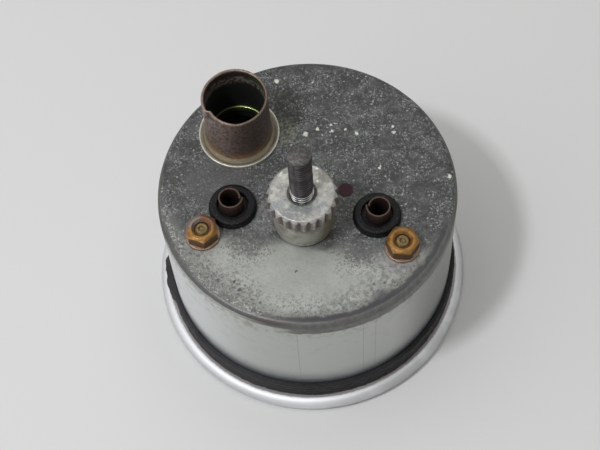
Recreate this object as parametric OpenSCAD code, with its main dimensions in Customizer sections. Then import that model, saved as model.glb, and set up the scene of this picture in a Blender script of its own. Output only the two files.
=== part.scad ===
// Electrical water temperature gauge for a 52 mm panel hole, lying face down.
// Millimetres. Origin at the centre of the bezel's front, +Z towards the back of the case,
// +Y towards 12 o'clock on the dial. Seen from the front, +X is on the left.

/* [Case] */
// Outside diameter of the can
can_d = 52; // [51:0.5:60]
// Depth from the front of the bezel to the back face of the can
case_depth = 33; // [32:0.5:45]
// Sheet thickness of the can
can_wall = 0.6; // [0.4:0.1:1]
// Radius of the rounded edge round the back face
can_edge_r = 1.2; // [1.1:0.1:2.5]
// Radius of the bend where the can's wall turns out into its flange
can_bend_r = 0.5; // [0.2:0.1:0.6]
// How far the can's wall splays out at its foot, under the seal
foot_flare = 0.1; // [0.05:0.05:0.3]

/* [Bezel and glass] */
// How far the bezel stands out past the can
bezel_reach = 2.95; // [2.6:0.05:4]
// Height of the bezel from front to back
bezel_h = 3; // [2.8:0.1:4]
// Sheet thickness of the bezel
bezel_sheet = 0.5; // [0.3:0.1:0.6]
// Width of the bezel's sloping front, from the can's inner wall inwards
bezel_lip = 1.9; // [1:0.1:3]
// Depth of the bezel's inner edge behind its front
lip_depth = 1.5; // [1:0.1:1.8]
// How far the rubber seal stands out past the can
seal_reach = 0.9; // [0.6:0.05:2.2]
// Height of the rubber seal along the can
seal_t = 4.2; // [0.6:0.1:6]
// Thickness of the glass
glass_t = 2; // [1:0.1:3]
// Distance from the back of the glass to the dial
dial_gap = 3.9; // [3.7:0.1:6]
// Wall of the black ring between the glass and the dial
ring_wall = 1.1; // [0.6:0.1:2]
// Thickness of the dial plate
dial_t = 0.5; // [0.3:0.1:1]

/* [Dial and pointer] */
// Distance of the spindle below the middle of the dial
pivot_drop = 6; // [3:0.5:8]
// Sweep of the pointer from cold to hot
sweep = 90; // [60:5:100]
// Radius of the middle of the scale, from the spindle
scale_r = 21.5; // [18:0.5:22]
// Number of divisions on the scale
divisions = 16; // [8:1:24]
// Pointer length from the spindle to its tip
pointer_len = 19.5; // [14:0.5:20.5]
// Pointer thickness
pointer_t = 0.4; // [0.3:0.1:0.6]
// Diameter of the pointer's black hub
hub_d = 6.4; // [4:0.2:9]
// Distance of the dial screws from the middle line
dial_screw_x = 18; // [15:0.5:18.5]

/* [Movement] */
// Distance from the dial's back to the movement plate
dial_post_h = 3.5; // [2.5:0.5:5]
// Thickness of the movement plate
plate_t = 1.2; // [0.8:0.1:2]
// Diameter of the movement plate
plate_d = 44; // [43:0.5:46]
// Diameter of the spindle between its bearings
spindle_d = 1.6; // [1.4:0.1:2.4]
// Diameter of the spindle's journals and of its front end
journal_d = 1; // [0.8:0.1:1.2]
// Length of one coil between the outsides of its flanges
coil_len = 9; // [6:0.5:10]
// Diameter of a coil's flanges
coil_d = 9; // [7:0.5:10]
// Diameter of a coil's iron core
core_d = 3.2; // [2.4:0.2:3.6]
// Gap between the spindle's centre and a pole face
pole_r = 4.5; // [4.2:0.1:6]
// Thickness of the iron yoke
yoke_t = 1; // [0.8:0.1:1.5]
// Length of the iron armature on the spindle
armature_len = 7; // [5:0.5:7.5]
// Height of the cock's foot above the movement plate
cock_h = 11.4; // [11:0.1:13]

/* [Back of the case] */
// Distance of the movement pillars from the middle line
pillar_x = 17; // [15.5:0.5:17.5]
// Distance of the movement pillars below the middle
pillar_y = 10.2; // [9.5:0.1:11]
// Diameter of the pillars' threaded ends
pillar_thread_d = 2.5; // [2:0.1:2.6]
// Width of the brass nuts across their flats
nut_af = 5; // [4.4:0.1:5.5]
// Height of the brass nuts
nut_h = 2.4; // [1.6:0.1:4]
// Diameter of the washers under the brass nuts
nut_washer_d = 6.1; // [5.6:0.1:7]
// Thickness of the washers under the brass nuts
nut_washer_t = 0.5; // [0.3:0.1:1]
// Distance of the terminals from the middle line
terminal_x = 12.75; // [12:0.25:13.5]
// Distance of the terminals below the middle
terminal_y = 4.65; // [4:0.05:5]
// Outside diameter of a terminal tube
terminal_d = 3.8; // [3.4:0.1:4.2]
// Wall of a terminal tube
terminal_wall = 0.28; // [0.2:0.02:0.5]
// Height of a terminal tube above the back face
terminal_h = 3.8; // [2.5:0.1:8]
// Width of the slit down a terminal tube
terminal_slit = 0.35; // [0.2:0.05:0.8]
// Diameter of the black insulating washers
insulator_d = 8.3; // [7.4:0.1:8.6]
// Thickness of the black insulating washers
insulator_t = 1.4; // [1:0.1:2.2]

/* [Lamp socket] */
// Distance of the lamp tube from the middle line
lamp_x = 12.8; // [12:0.1:13.4]
// Distance of the lamp tube above the middle
lamp_y = 10.1; // [9.5:0.1:11]
// Bore of the lamp tube
lamp_bore_d = 10.4; // [9.6:0.1:10.8]
// Wall of the lamp tube at its mouth
lamp_wall = 0.5; // [0.3:0.05:0.8]
// Height of the lamp tube above the back face
lamp_h = 12.3; // [8:0.5:18]
// How far the tube's foot flares out past its mouth
lamp_flare = 0.6; // [0.2:0.05:1.1]
// Diameter of the ring round the tube's foot
lamp_flange_d = 14.25; // [13.8:0.05:14.6]
// Thickness of the ring round the tube's foot
lamp_flange_t = 0.6; // [0.4:0.1:1]

/* [Clamp stud and thumb nut] */
// Distance of the stud below the middle
stud_y = 6.3; // [5:0.1:7]
// Diameter of the stud's thread
stud_d = 4; // [3:0.5:5]
// Depth from the crests of the stud's thread to its mean diameter
thread_half_depth = 0.25; // [0.2:0.05:0.4]
// Height of the stud above the back face
stud_h = 23; // [18:1:40]
// Diameter of the plain collar under the thumb nut
collar_d = 10.2; // [8:0.2:11]
// Height of the plain collar
collar_h = 7; // [2:0.5:10]
// Diameter of the thumb nut over its teeth
thumb_d = 12; // [10.5:0.5:14]
// Height of the thumb nut
thumb_h = 3.2; // [2:0.2:5]
// Number of teeth round the thumb nut
thumb_teeth = 22; // [16:1:30]
// Depth of the thumb nut's teeth
tooth_depth = 0.55; // [0.3:0.05:0.8]

/* [Clearances] */
// Clearance all round a piece that turns or slides on another
run_gap = 0.05; // [0.02:0.01:0.09]
// Clearance all round a piece that sits in a hole of another
seat_gap = 0.04; // [0.02:0.01:0.08]
// Free space between pieces that pass each other
pass_gap = 0.3; // [0.2:0.05:0.5]

/* [Hidden] */
$fn = 64;
eps = 0.01;
// How far a cut runs past what it cuts
over = 1;

// Radii and levels of the case, from the front to the back
can_r = can_d / 2;
bore_r = can_r - can_wall;
edge_r = max(can_edge_r, can_wall + eps);
bend_r = min(can_bend_r, bezel_sheet);
mouth_z = bezel_h - bezel_sheet - can_wall;
floor_z = case_depth - can_wall;
bezel_r = can_r + bezel_reach;
round_r = bezel_h / 2;
crest_r = bezel_r - round_r;
land_w = 0.6;
lip_r = bore_r - bezel_lip;
can_flange_r = crest_r - seat_gap;
can_foot_r = can_r + foot_flare;
straight_z = bezel_h + seal_t + pass_gap;
inner_r = bore_r - 2 * run_gap;
gasket_inset = 0.2;
gasket_r = lip_r + gasket_inset;
glass_rest = 0.1;
glass_z = lip_depth + bezel_sheet + glass_rest;
glass_back_z = glass_z + glass_t;
dial_z = glass_back_z + dial_gap;
dial_back_z = dial_z + dial_t;

// Levels of the movement behind the dial
plate_z = dial_back_z + dial_post_h;
plate_back_z = plate_z + plate_t;
yoke_z = plate_back_z + yoke_t;
coil_z = yoke_z + pass_gap + coil_d / 2;
cock_z = plate_back_z + cock_h;
cock_t = 1.2;
cock_arm_w = 6;
// The movement plate stops here, so that the lamp's side of the case stays open
plate_cut_y = 8;

// Pointer and hub, between the glass and the dial
pointer_lift = 0.1;
pointer_z = (glass_back_z + dial_z) / 2 + pointer_lift;
hub_h = 1.1;
hub_floor = 0.4 * hub_h;
hub_chamfer = 0.3;
pointer_half_w = 0.9;
pointer_tip_half_w = 0.2;
pointer_tip_len = 1;
tail_len = 6.5;
tail_half_w = 1.3;
stop_r = 12;
stop_pin_d = 0.8;
stop_angle = asin((pointer_half_w + stop_pin_d / 2 + pass_gap / 2) / stop_r);
// The cold end of the scale lies on the +X side, and the pointer rests there
cold_angle = 90 - sweep / 2;

// Print of the scale: length and width of a long stroke and of a short one
mark_t = 0.1;
long_mark_len = 3;
long_mark_w = 0.7;
short_mark_len = 1.6;
short_mark_w = 0.36;
long_every = 4;

// Places of the two coils, either side of 6 o'clock
coil_angles = [225, 315];
core_head_t = 1.2;
coil_near = pole_r + core_head_t;
coil_far = coil_near + coil_len;
flange_t = 0.8;
barrel_wall = 0.6;
pole_inset = 0.6;
winding_inset = 0.5;
ear_t = 1.2;
spigot_d = 2;

// Small fasteners
screw_d = 1.6;
screw_head_d = 3;
screw_head_h = 0.8;
screw_slot = 0.4;
rivet_head_d = 3.2;
rivet_head_t = 0.6;
post_d = 4;
dial_screw_grip = 0.7 * dial_post_h;
dial_tap = 0.8 * dial_post_h;
dial_hole_r = journal_d / 2 + 1;
pillar_d = 4;
bearing_d = 4;
rear_bearing_d = 3.6;
bearing_boss = 0.6;
journal_grip = 0.8;
cock_screw_x = 2.6;
cock_screw_grip = 4;
cock_tap = cock_screw_grip + 1;
cock_foot_y = 10;
cock_foot_w = 9;
cock_foot_d = 4;

// Terminal stack, from the back face inwards
insulator_shift = 0.35;
insulator_edge = 0.3;
insulator_hole_d = 5.4;
insulator_floor = 0.4;
nut_chamfer = 0.35;
bush_wall = 1;
can_hole_r = terminal_d / 2 + bush_wall;
inner_insulator_lap = 1;
inner_insulator_t = 0.8;
tag_t = 0.5;
tag_len = 5;
tag_w = 1.8;
tag_eye_d = terminal_d + 2;
swage_t = 0.5;
swage_d = terminal_d + 1.2;
tag_z = floor_z - inner_insulator_t - tag_t;
wire_d = 0.6;

// Clamp stud and thumb nut
stud_head_d = 9;
stud_head_t = 1.2;
stud_tip = 0.4;
collar_z = case_depth + run_gap;
collar_edge = 0.4;
thumb_z = collar_z + collar_h + run_gap;
thumb_chamfer = 0.5;
thumb_sink = 0.4;
// Corners of one tooth along the rim, in shares of the pitch
tooth_foot = 0.48;
tooth_tip = 0.07;

// Lamp socket
lamp_r = lamp_bore_d / 2 + lamp_wall;
lamp_tail = 1.4;
lamp_edge = 0.2;
flare_h = 5;
flare_z = 0.3;
flare_power = 2.8;
contact_ring_wall = 0.35;
contact_seat = 0.25;
contact_ring_h = 1;

pivot = [0, -pivot_drop];
stud_place = [0, -stud_y];
lamp_place = [-lamp_x, lamp_y];
varnish_place = [6.7, 0.1];
varnish_d = 2.7;
varnish_t = 0.25;
varnish_hole_d = 1.4;

// A ring between two radii
module ring(r_out, r_in, h) {
    difference() {
        cylinder(r = r_out, h = h);
        translate([0, 0, -eps]) cylinder(r = r_in, h = h + 2 * eps);
    }
}

// Half section of a drum with a rounded far edge
module drum_section(r, z_low, z_high, edge) {
    translate([0, z_low]) square([r, z_high - z_low - edge]);
    translate([0, z_low]) square([r - edge, z_high - z_low]);
    translate([r - edge, z_high - edge]) circle(r = edge);
}

// Copies of a piece at both sides of the middle line
module both_sides(x, y) {
    for (side = [-1, 1]) translate([side * x, -y, 0]) children();
}

// Copies of a piece along both coil directions, turned so that +X points outwards
module both_coils() {
    for (a = coil_angles)
        translate([pivot[0], pivot[1], 0]) rotate([0, 0, a]) children();
}

// A round bar along +X from one distance to another, at the coils' level
module coil_bar(r, from, to) {
    translate([from, 0, coil_z]) rotate([0, 90, 0]) cylinder(r = r, h = to - from);
}

// A wire of round section through a list of points
module wire(points) {
    for (i = [0 : len(points) - 2]) {
        a = points[i];
        b = points[i + 1];
        d = b - a;
        run = norm(d);
        translate(a) sphere(d = wire_d, $fn = 8);
        translate(b) sphere(d = wire_d, $fn = 8);
        translate(a)
            rotate([0, acos(d[2] / run), atan2(d[1], d[0])])
            cylinder(d = wire_d, h = run, $fn = 8);
    }
}

// Half section of the can's foot: a bend up from the flange, and a wall that splays out a little
module foot_section() {
    flange_z = mouth_z + can_wall;
    translate([can_foot_r - eps, flange_z - eps]) difference() {
        square(bend_r + eps);
        translate([bend_r + eps, bend_r + eps]) circle(r = bend_r);
    }
    polygon([
        [can_r - eps, flange_z - eps], [can_foot_r, flange_z - eps], [can_foot_r, flange_z + bend_r],
        [can_r, straight_z], [can_r - eps, straight_z]
    ]);
}

module can() {
    cut_h = can_wall + 2 * over;
    color("gray") difference() {
        union() {
            rotate_extrude($fn = 180) drum_section(can_r, mouth_z, case_depth, edge_r);
            translate([0, 0, mouth_z]) cylinder(r = can_flange_r, h = can_wall, $fn = 180);
            rotate_extrude($fn = 180) foot_section();
        }
        rotate_extrude($fn = 180)
            drum_section(bore_r, mouth_z - over, floor_z, edge_r - can_wall);
        translate([0, 0, floor_z - over]) {
            translate(stud_place) cylinder(d = stud_d + 2 * seat_gap, h = cut_h);
            both_sides(pillar_x, pillar_y)
                cylinder(d = pillar_thread_d + 2 * seat_gap, h = cut_h);
            both_sides(terminal_x, terminal_y) cylinder(r = can_hole_r + seat_gap, h = cut_h);
            translate(lamp_place) cylinder(r = lamp_r + seat_gap, h = cut_h);
            translate(varnish_place) cylinder(d = varnish_hole_d, h = cut_h);
        }
    }
}

// Rolled sheet ring: a flat land in front, a round outer edge, and a curl behind the can's flange
module bezel() {
    curl_r = can_foot_r + bend_r + seat_gap;
    in_round = round_r - bezel_sheet;
    outer_arc = [for (a = [-90 : 7.5 : 90]) [crest_r + round_r * cos(a), round_r + round_r * sin(a)]];
    inner_arc = [for (a = [90 : -7.5 : -90])
        [crest_r + in_round * cos(a), round_r + in_round * sin(a)]];
    color("silver") rotate_extrude($fn = 180)
        polygon(concat(
            [[lip_r, lip_depth], [crest_r - land_w, 0]],
            outer_arc,
            [[curl_r, bezel_h], [curl_r, bezel_h - bezel_sheet]],
            inner_arc,
            [[crest_r - land_w, bezel_sheet], [lip_r, lip_depth + bezel_sheet]]
        ));
}

module seal() {
    color("#2a2622") translate([0, 0, bezel_h])
        ring(can_r + seal_reach, can_foot_r + seat_gap, seal_t, $fn = 180);
}

// Soft ring that fills the wedge between the bezel's lip and the glass
module glass_gasket() {
    slope = lip_depth / (crest_r - land_w - lip_r);
    low_in = bezel_sheet + lip_depth - slope * (gasket_r - lip_r);
    low_out = bezel_sheet + lip_depth - slope * (inner_r - lip_r);
    color("#1c1c1c") rotate_extrude($fn = 180)
        polygon([[gasket_r, low_in], [inner_r, low_out], [inner_r, glass_z], [gasket_r, glass_z]]);
}

module glass() {
    color("#cfe0e0", 0.4) translate([0, 0, glass_z]) cylinder(r = inner_r, h = glass_t, $fn = 180);
}

module inner_ring() {
    color("#202020") translate([0, 0, glass_back_z]) difference() {
        cylinder(r = inner_r, h = dial_gap, $fn = 180);
        translate([0, 0, -eps]) cylinder(r = inner_r - ring_wall, h = dial_gap + 2 * eps, $fn = 180);
    }
}

module dial() {
    color("#181818") translate([0, 0, dial_z]) difference() {
        cylinder(r = inner_r, h = dial_t, $fn = 180);
        translate([pivot[0], pivot[1], -over]) cylinder(r = dial_hole_r, h = dial_t + 2 * over);
        both_sides(dial_screw_x, 0) translate([0, 0, -over])
            cylinder(d = screw_d + 2 * seat_gap, h = dial_t + 2 * over);
        for (a = [cold_angle - stop_angle, cold_angle + sweep + stop_angle])
            translate([pivot[0] + stop_r * cos(a), pivot[1] + stop_r * sin(a), -over])
                cylinder(d = stop_pin_d + 2 * seat_gap, h = dial_t + 2 * over, $fn = 24);
    }
}

// Raised print of the scale: long strokes at every fourth division
module dial_marks() {
    color("white") translate([pivot[0], pivot[1], dial_z - mark_t])
        for (i = [0 : divisions]) {
            long = i % long_every == 0;
            mark_len = long ? long_mark_len : short_mark_len;
            mark_w = long ? long_mark_w : short_mark_w;
            rotate([0, 0, cold_angle + i * sweep / divisions])
                translate([scale_r - mark_len / 2, -mark_w / 2, 0])
                cube([mark_len, mark_w, mark_t]);
        }
}

module dial_screws() {
    color("silver") both_sides(dial_screw_x, 0) difference() {
        union() {
            translate([0, 0, dial_z - screw_head_h])
                cylinder(d = screw_head_d, h = screw_head_h, $fn = 40);
            translate([0, 0, dial_z - eps])
                cylinder(d = screw_d, h = dial_t + dial_screw_grip, $fn = 40);
        }
        translate([-screw_head_d, -screw_slot / 2, dial_z - screw_head_h - eps])
            cube([2 * screw_head_d, screw_slot, screw_head_h / 2]);
    }
}

module dial_posts() {
    color("#b5a05a") both_sides(dial_screw_x, 0) translate([0, 0, dial_back_z]) difference() {
        cylinder(d = post_d, h = dial_post_h);
        translate([0, 0, -eps]) cylinder(d = screw_d + 2 * seat_gap, h = dial_tap);
    }
}

// Pins that stop the pointer at the ends of its sweep
module stop_pins() {
    color("silver") for (a = [cold_angle - stop_angle, cold_angle + sweep + stop_angle])
        translate([pivot[0] + stop_r * cos(a), pivot[1] + stop_r * sin(a), pointer_z - pointer_t])
            cylinder(d = stop_pin_d, h = dial_back_z - pointer_z + pointer_t, $fn = 24);
}

// D-shaped plate: its straight edge leaves the lamp's side of the case open
module movement_plate() {
    cut_h = plate_t + 2 * over;
    color("#b9b9b0") translate([0, 0, plate_z]) difference() {
        cylinder(d = plate_d, h = plate_t, $fn = 120);
        translate([-can_r, plate_cut_y, -over]) cube([2 * can_r, can_r, cut_h]);
        translate([pivot[0], pivot[1], -over]) cylinder(d = bearing_d + 2 * seat_gap, h = cut_h);
        both_sides(pillar_x, pillar_y) translate([0, 0, -over])
            cylinder(d = spigot_d + 2 * seat_gap, h = cut_h);
        for (x = [-cock_screw_x, cock_screw_x])
            translate([x, pivot[1] + cock_foot_y, -over])
                cylinder(d = screw_d + 2 * seat_gap, h = cut_h);
        both_coils() translate([(coil_near + coil_far) / 2, 0, -over])
            cylinder(d = spigot_d + 2 * seat_gap, h = cut_h);
    }
}

module front_bearing() {
    color("#c9a24a") translate([pivot[0], pivot[1], plate_z]) difference() {
        cylinder(d = bearing_d, h = plate_t + bearing_boss);
        translate([0, 0, -over])
            cylinder(d = journal_d + 2 * run_gap, h = plate_t + bearing_boss + 2 * over, $fn = 48);
    }
}

// Bracket that stands on the plate and reaches over the spindle
module rear_cock() {
    color("#b9b9b0") translate([pivot[0], pivot[1], 0]) difference() {
        union() {
            translate([-cock_foot_w / 2, cock_foot_y - cock_foot_d / 2, plate_back_z])
                cube([cock_foot_w, cock_foot_d, cock_h + cock_t]);
            translate([-cock_arm_w / 2, 0, cock_z]) cube([cock_arm_w, cock_foot_y, cock_t]);
            translate([0, 0, cock_z]) cylinder(d = cock_arm_w, h = cock_t);
        }
        translate([0, 0, cock_z - over])
            cylinder(d = rear_bearing_d + 2 * seat_gap, h = cock_t + 2 * over);
        for (x = [-cock_screw_x, cock_screw_x])
            translate([x, cock_foot_y, plate_back_z - eps])
                cylinder(d = screw_d + 2 * seat_gap, h = cock_tap);
    }
}

module cock_screws() {
    color("silver") for (x = [-cock_screw_x, cock_screw_x])
        translate([x, pivot[1] + cock_foot_y, plate_z - screw_head_h]) difference() {
            union() {
                cylinder(d = screw_head_d, h = screw_head_h, $fn = 40);
                translate([0, 0, screw_head_h - eps])
                    cylinder(d = screw_d, h = plate_t + cock_screw_grip, $fn = 40);
            }
            translate([-screw_head_d, -screw_slot / 2, -eps])
                cube([2 * screw_head_d, screw_slot, screw_head_h / 2]);
        }
}

// Blind bush in the cock that holds the spindle's rear journal
module rear_bearing() {
    color("#c9a24a") translate([pivot[0], pivot[1], cock_z - bearing_boss]) difference() {
        cylinder(d = rear_bearing_d, h = cock_t + 2 * bearing_boss);
        translate([0, 0, -eps])
            cylinder(d = journal_d + 2 * run_gap, h = cock_t + bearing_boss, $fn = 48);
    }
}

// Iron return path: an arm under each coil with an upright ear at its far end
module yoke() {
    arm_w = 7;
    color("#8a8a8a") difference() {
        both_coils() {
            translate([0, -arm_w / 2, plate_back_z]) cube([coil_far + ear_t, arm_w, yoke_t]);
            translate([coil_far, -arm_w / 2, plate_back_z])
                cube([ear_t, arm_w, coil_z - plate_back_z + arm_w / 2]);
        }
        translate([pivot[0], pivot[1], 0]) cylinder(r = bearing_d / 2 + pass_gap, h = yoke_z + over);
        both_coils() {
            coil_bar(spigot_d / 2 + seat_gap, coil_far - over, coil_far + ear_t + over);
            translate([(coil_near + coil_far) / 2, 0, plate_back_z - over])
                cylinder(d = spigot_d + 2 * seat_gap, h = yoke_t + 2 * over);
        }
    }
}

module yoke_rivets() {
    color("silver") both_coils() translate([(coil_near + coil_far) / 2, 0, plate_z]) {
        translate([0, 0, -eps]) cylinder(d = spigot_d, h = plate_t + yoke_t + eps);
        translate([0, 0, -rivet_head_t]) cylinder(d = rivet_head_d, h = rivet_head_t);
    }
}

// Soft iron cores, each with a pole face hollowed round the armature
module coil_cores() {
    color("#7d7d7d") difference() {
        both_coils() {
            coil_bar(core_d / 2, coil_near - eps, coil_far);
            coil_bar(coil_d / 2 - pole_inset, pole_r - over, coil_near);
            coil_bar(spigot_d / 2, coil_far - eps, coil_far + ear_t);
        }
        translate([pivot[0], pivot[1], 0]) cylinder(r = pole_r, h = case_depth, $fn = 96);
        translate([-2 * pass_gap, pivot[1] - 3 * pole_r, 0]) cube([4 * pass_gap, 3 * pole_r, case_depth]);
    }
}

module coil_bobbins() {
    color("#6b2f1c") both_coils() difference() {
        union() {
            coil_bar(coil_d / 2, coil_near, coil_near + flange_t);
            coil_bar(coil_d / 2, coil_far - flange_t, coil_far);
            coil_bar(core_d / 2 + barrel_wall, coil_near, coil_far);
        }
        coil_bar(core_d / 2 + seat_gap, coil_near - over, coil_far + over);
    }
}

module coil_windings() {
    color("#b5622c") both_coils() difference() {
        coil_bar(coil_d / 2 - winding_inset, coil_near + flange_t + seat_gap,
                 coil_far - flange_t - seat_gap);
        coil_bar(core_d / 2 + barrel_wall + seat_gap, coil_near, coil_far);
    }
}

// Wires from the solder tags to the outer flange of each coil, and one from coil to coil
module coil_leads() {
    top = coil_z + coil_d / 2 + wire_d / 2;
    reach = coil_far - flange_t / 2;
    tag_y = -terminal_y - tag_len + tag_w / 2;
    near = coil_near + flange_t / 2;
    drop = 2;
    bridge_rise = 0.8;
    bridge_out = 1;
    color("#8c3a20") {
        for (i = [0, 1]) {
            side = i == 0 ? -1 : 1;
            end = [pivot[0] + reach * cos(coil_angles[i]), pivot[1] + reach * sin(coil_angles[i])];
            start = [side * terminal_x, tag_y];
            wire([
                [start[0], start[1], tag_z - wire_d / 2],
                [start[0], start[1], tag_z - drop],
                [end[0], end[1], top + drop],
                [end[0], end[1], top]
            ]);
        }
        near_y = pivot[1] + near * sin(coil_angles[0]);
        near_x = near * cos(coil_angles[1]);
        wire([
            [-near_x, near_y, top],
            [-near_x, near_y - bridge_out, top + bridge_rise],
            [near_x, near_y - bridge_out, top + bridge_rise],
            [near_x, near_y, top]
        ]);
    }
}

// Pillars from the movement plate to the back, with threaded ends that carry the brass nuts
module pillars() {
    color("#b5a05a") both_sides(pillar_x, pillar_y) {
        translate([0, 0, plate_z]) cylinder(d = spigot_d, h = plate_t + eps);
        translate([0, 0, plate_back_z]) cylinder(d = pillar_d, h = floor_z - plate_back_z);
        translate([0, 0, floor_z - eps])
            cylinder(d = pillar_thread_d, h = can_wall + nut_washer_t + nut_h - nut_chamfer);
    }
}

module nut_washers() {
    color("#b8a08a") both_sides(pillar_x, pillar_y) translate([0, 0, case_depth])
        ring(nut_washer_d / 2, pillar_thread_d / 2 + seat_gap, nut_washer_t);
}

// Hexagon nuts, chamfered on top: the one at +X has a corner to the front
module hex_nuts() {
    corner_r = nut_af / 2 / cos(30);
    top_r = nut_af / 2 - 0.1;
    sink = 0.4;
    z = case_depth + nut_washer_t;
    color("#c2a04c") for (side = [-1, 1])
        translate([side * pillar_x, -pillar_y, z]) difference() {
            intersection() {
                rotate([0, 0, side > 0 ? 30 : 15]) cylinder(r = corner_r, h = nut_h, $fn = 6);
                union() {
                    cylinder(r = corner_r, h = nut_h - nut_chamfer);
                    translate([0, 0, nut_h - nut_chamfer - eps])
                        cylinder(r1 = corner_r, r2 = top_r, h = nut_chamfer + eps);
                }
            }
            translate([0, 0, -over])
                cylinder(d = pillar_thread_d + 2 * seat_gap, h = nut_h + 2 * over);
            translate([0, 0, nut_h - nut_chamfer])
                cylinder(d1 = pillar_thread_d, d2 = pillar_thread_d + 2 * sink, h = nut_chamfer + eps);
        }
}

// Rolled tubes with a slit that faces the middle, spread over inside the case
module terminal_tubes() {
    bore = terminal_d / 2 - terminal_wall;
    foot_z = tag_z - swage_t;
    color("#8a5638") for (side = [-1, 1])
        translate([side * terminal_x, -terminal_y, 0]) difference() {
            union() {
                translate([0, 0, foot_z])
                    cylinder(d = terminal_d, h = case_depth + terminal_h - foot_z);
                translate([0, 0, foot_z]) cylinder(d = swage_d, h = swage_t);
            }
            translate([0, 0, foot_z - over])
                cylinder(r = bore, h = case_depth + terminal_h - foot_z + 2 * over);
            translate([side > 0 ? -terminal_d : 0, -terminal_slit / 2, case_depth + insulator_t])
                cube([terminal_d, terminal_slit, terminal_h]);
        }
}

// Black bushes outside: a stepped washer with a wide hole, and a floor that fits round the tube
module outer_insulators() {
    r = insulator_d / 2;
    color("#161616") for (side = [-1, 1]) difference() {
        union() {
            translate([side * (terminal_x - insulator_shift), -terminal_y, case_depth])
                rotate_extrude() polygon([
                    [0, 0], [r, 0], [r, insulator_t / 2], [r - insulator_edge, insulator_t / 2],
                    [r - insulator_edge, insulator_t - insulator_edge],
                    [r - 2 * insulator_edge, insulator_t], [0, insulator_t]
                ]);
            translate([side * terminal_x, -terminal_y, floor_z])
                cylinder(r = can_hole_r, h = can_wall + eps);
        }
        translate([side * (terminal_x - insulator_shift), -terminal_y, case_depth + insulator_floor])
            cylinder(d = insulator_hole_d, h = insulator_t);
        translate([side * terminal_x, -terminal_y, floor_z - over])
            cylinder(d = terminal_d + 2 * seat_gap, h = can_wall + insulator_t + 2 * over);
    }
}

module inner_insulators() {
    color("#6a4a2a") both_sides(terminal_x, terminal_y)
        translate([0, 0, floor_z - inner_insulator_t])
        ring(can_hole_r + inner_insulator_lap, terminal_d / 2 + seat_gap, inner_insulator_t);
}

module solder_tags() {
    color("#c9c4b0") both_sides(terminal_x, terminal_y) translate([0, 0, tag_z]) difference() {
        union() {
            cylinder(d = tag_eye_d, h = tag_t);
            translate([-tag_w / 2, -tag_len, 0]) cube([tag_w, tag_len, tag_t]);
        }
        translate([0, 0, -over]) cylinder(d = terminal_d + 2 * seat_gap, h = tag_t + 2 * over);
    }
}

module lamp_flange() {
    color("#c8c8c4") translate([lamp_place[0], lamp_place[1], case_depth])
        ring(lamp_flange_d / 2, lamp_r + lamp_flare + seat_gap, lamp_flange_t);
}

// Drawn tube: straight bore, and a foot that flares out where it meets the back
module lamp_tube() {
    foot_r = lamp_r + lamp_flare;
    flare = [for (t = [0 : 0.1 : 1])
        [lamp_r + lamp_flare * pow(1 - t, flare_power), case_depth + flare_z + t * flare_h]];
    color("#6b4a3a") translate([lamp_place[0], lamp_place[1], 0]) difference() {
        rotate_extrude($fn = 96) polygon(concat(
            [[0, floor_z - lamp_tail], [lamp_r, floor_z - lamp_tail],
             [lamp_r, case_depth], [foot_r, case_depth]],
            flare,
            [[lamp_r, case_depth + lamp_h - lamp_edge], [lamp_r - lamp_edge, case_depth + lamp_h],
             [0, case_depth + lamp_h]]
        ));
        translate([0, 0, case_depth + contact_ring_h])
            cylinder(d = lamp_bore_d, h = lamp_h, $fn = 96);
        translate([0, 0, case_depth])
            cylinder(r = lamp_bore_d / 2 + contact_seat, h = contact_ring_h + eps, $fn = 96);
        translate([0, 0, floor_z - lamp_tail - over])
            cylinder(r = lamp_bore_d / 2 - contact_ring_wall, h = lamp_tail + can_wall + 2 * over,
                     $fn = 96);
    }
}

// Brass ring at the foot of the bore that the lamp holder's spring touches
module lamp_contact_ring() {
    color("#b08a3c") translate([lamp_place[0], lamp_place[1], case_depth])
        ring(lamp_bore_d / 2 + contact_seat - seat_gap, lamp_bore_d / 2 - contact_ring_wall,
             contact_ring_h);
}

// Stud with a flange inside the case. Its thread is drawn plain: at the mean diameter
// where the thumb nut and its collar stand, and at the full diameter above them
module clamp_stud() {
    top_z = case_depth + stud_h;
    nut_top_z = thumb_z + thumb_h;
    color("#5a5a5a") translate([stud_place[0], stud_place[1], 0]) {
        translate([0, 0, floor_z - stud_head_t]) cylinder(d = stud_head_d, h = stud_head_t);
        translate([0, 0, floor_z - eps])
            cylinder(r = stud_d / 2 - thread_half_depth, h = nut_top_z - floor_z + 2 * eps);
        translate([0, 0, nut_top_z]) cylinder(d = stud_d, h = top_z - nut_top_z - stud_tip);
        translate([0, 0, top_z - stud_tip - eps])
            cylinder(r1 = stud_d / 2, r2 = stud_d / 2 - stud_tip, h = stud_tip + eps);
    }
}

module varnish_dot() {
    color("#5c1a1e") translate([varnish_place[0], varnish_place[1], 0]) {
        translate([0, 0, case_depth]) cylinder(d = varnish_d, h = varnish_t);
        translate([0, 0, floor_z]) cylinder(d = varnish_hole_d - 2 * seat_gap, h = can_wall + eps);
    }
}

module spindle() {
    front_z = pointer_z - pointer_t - hub_h + hub_floor;
    shoulder_z = plate_back_z + bearing_boss + 2 * run_gap;
    rear_z = cock_z - bearing_boss - 2 * run_gap;
    color("#9a9a9a") translate([pivot[0], pivot[1], 0]) {
        translate([0, 0, front_z])
            cylinder(d = journal_d, h = cock_z + journal_grip - front_z, $fn = 48);
        translate([0, 0, shoulder_z]) cylinder(d = spindle_d, h = rear_z - shoulder_z, $fn = 48);
    }
}

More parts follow.
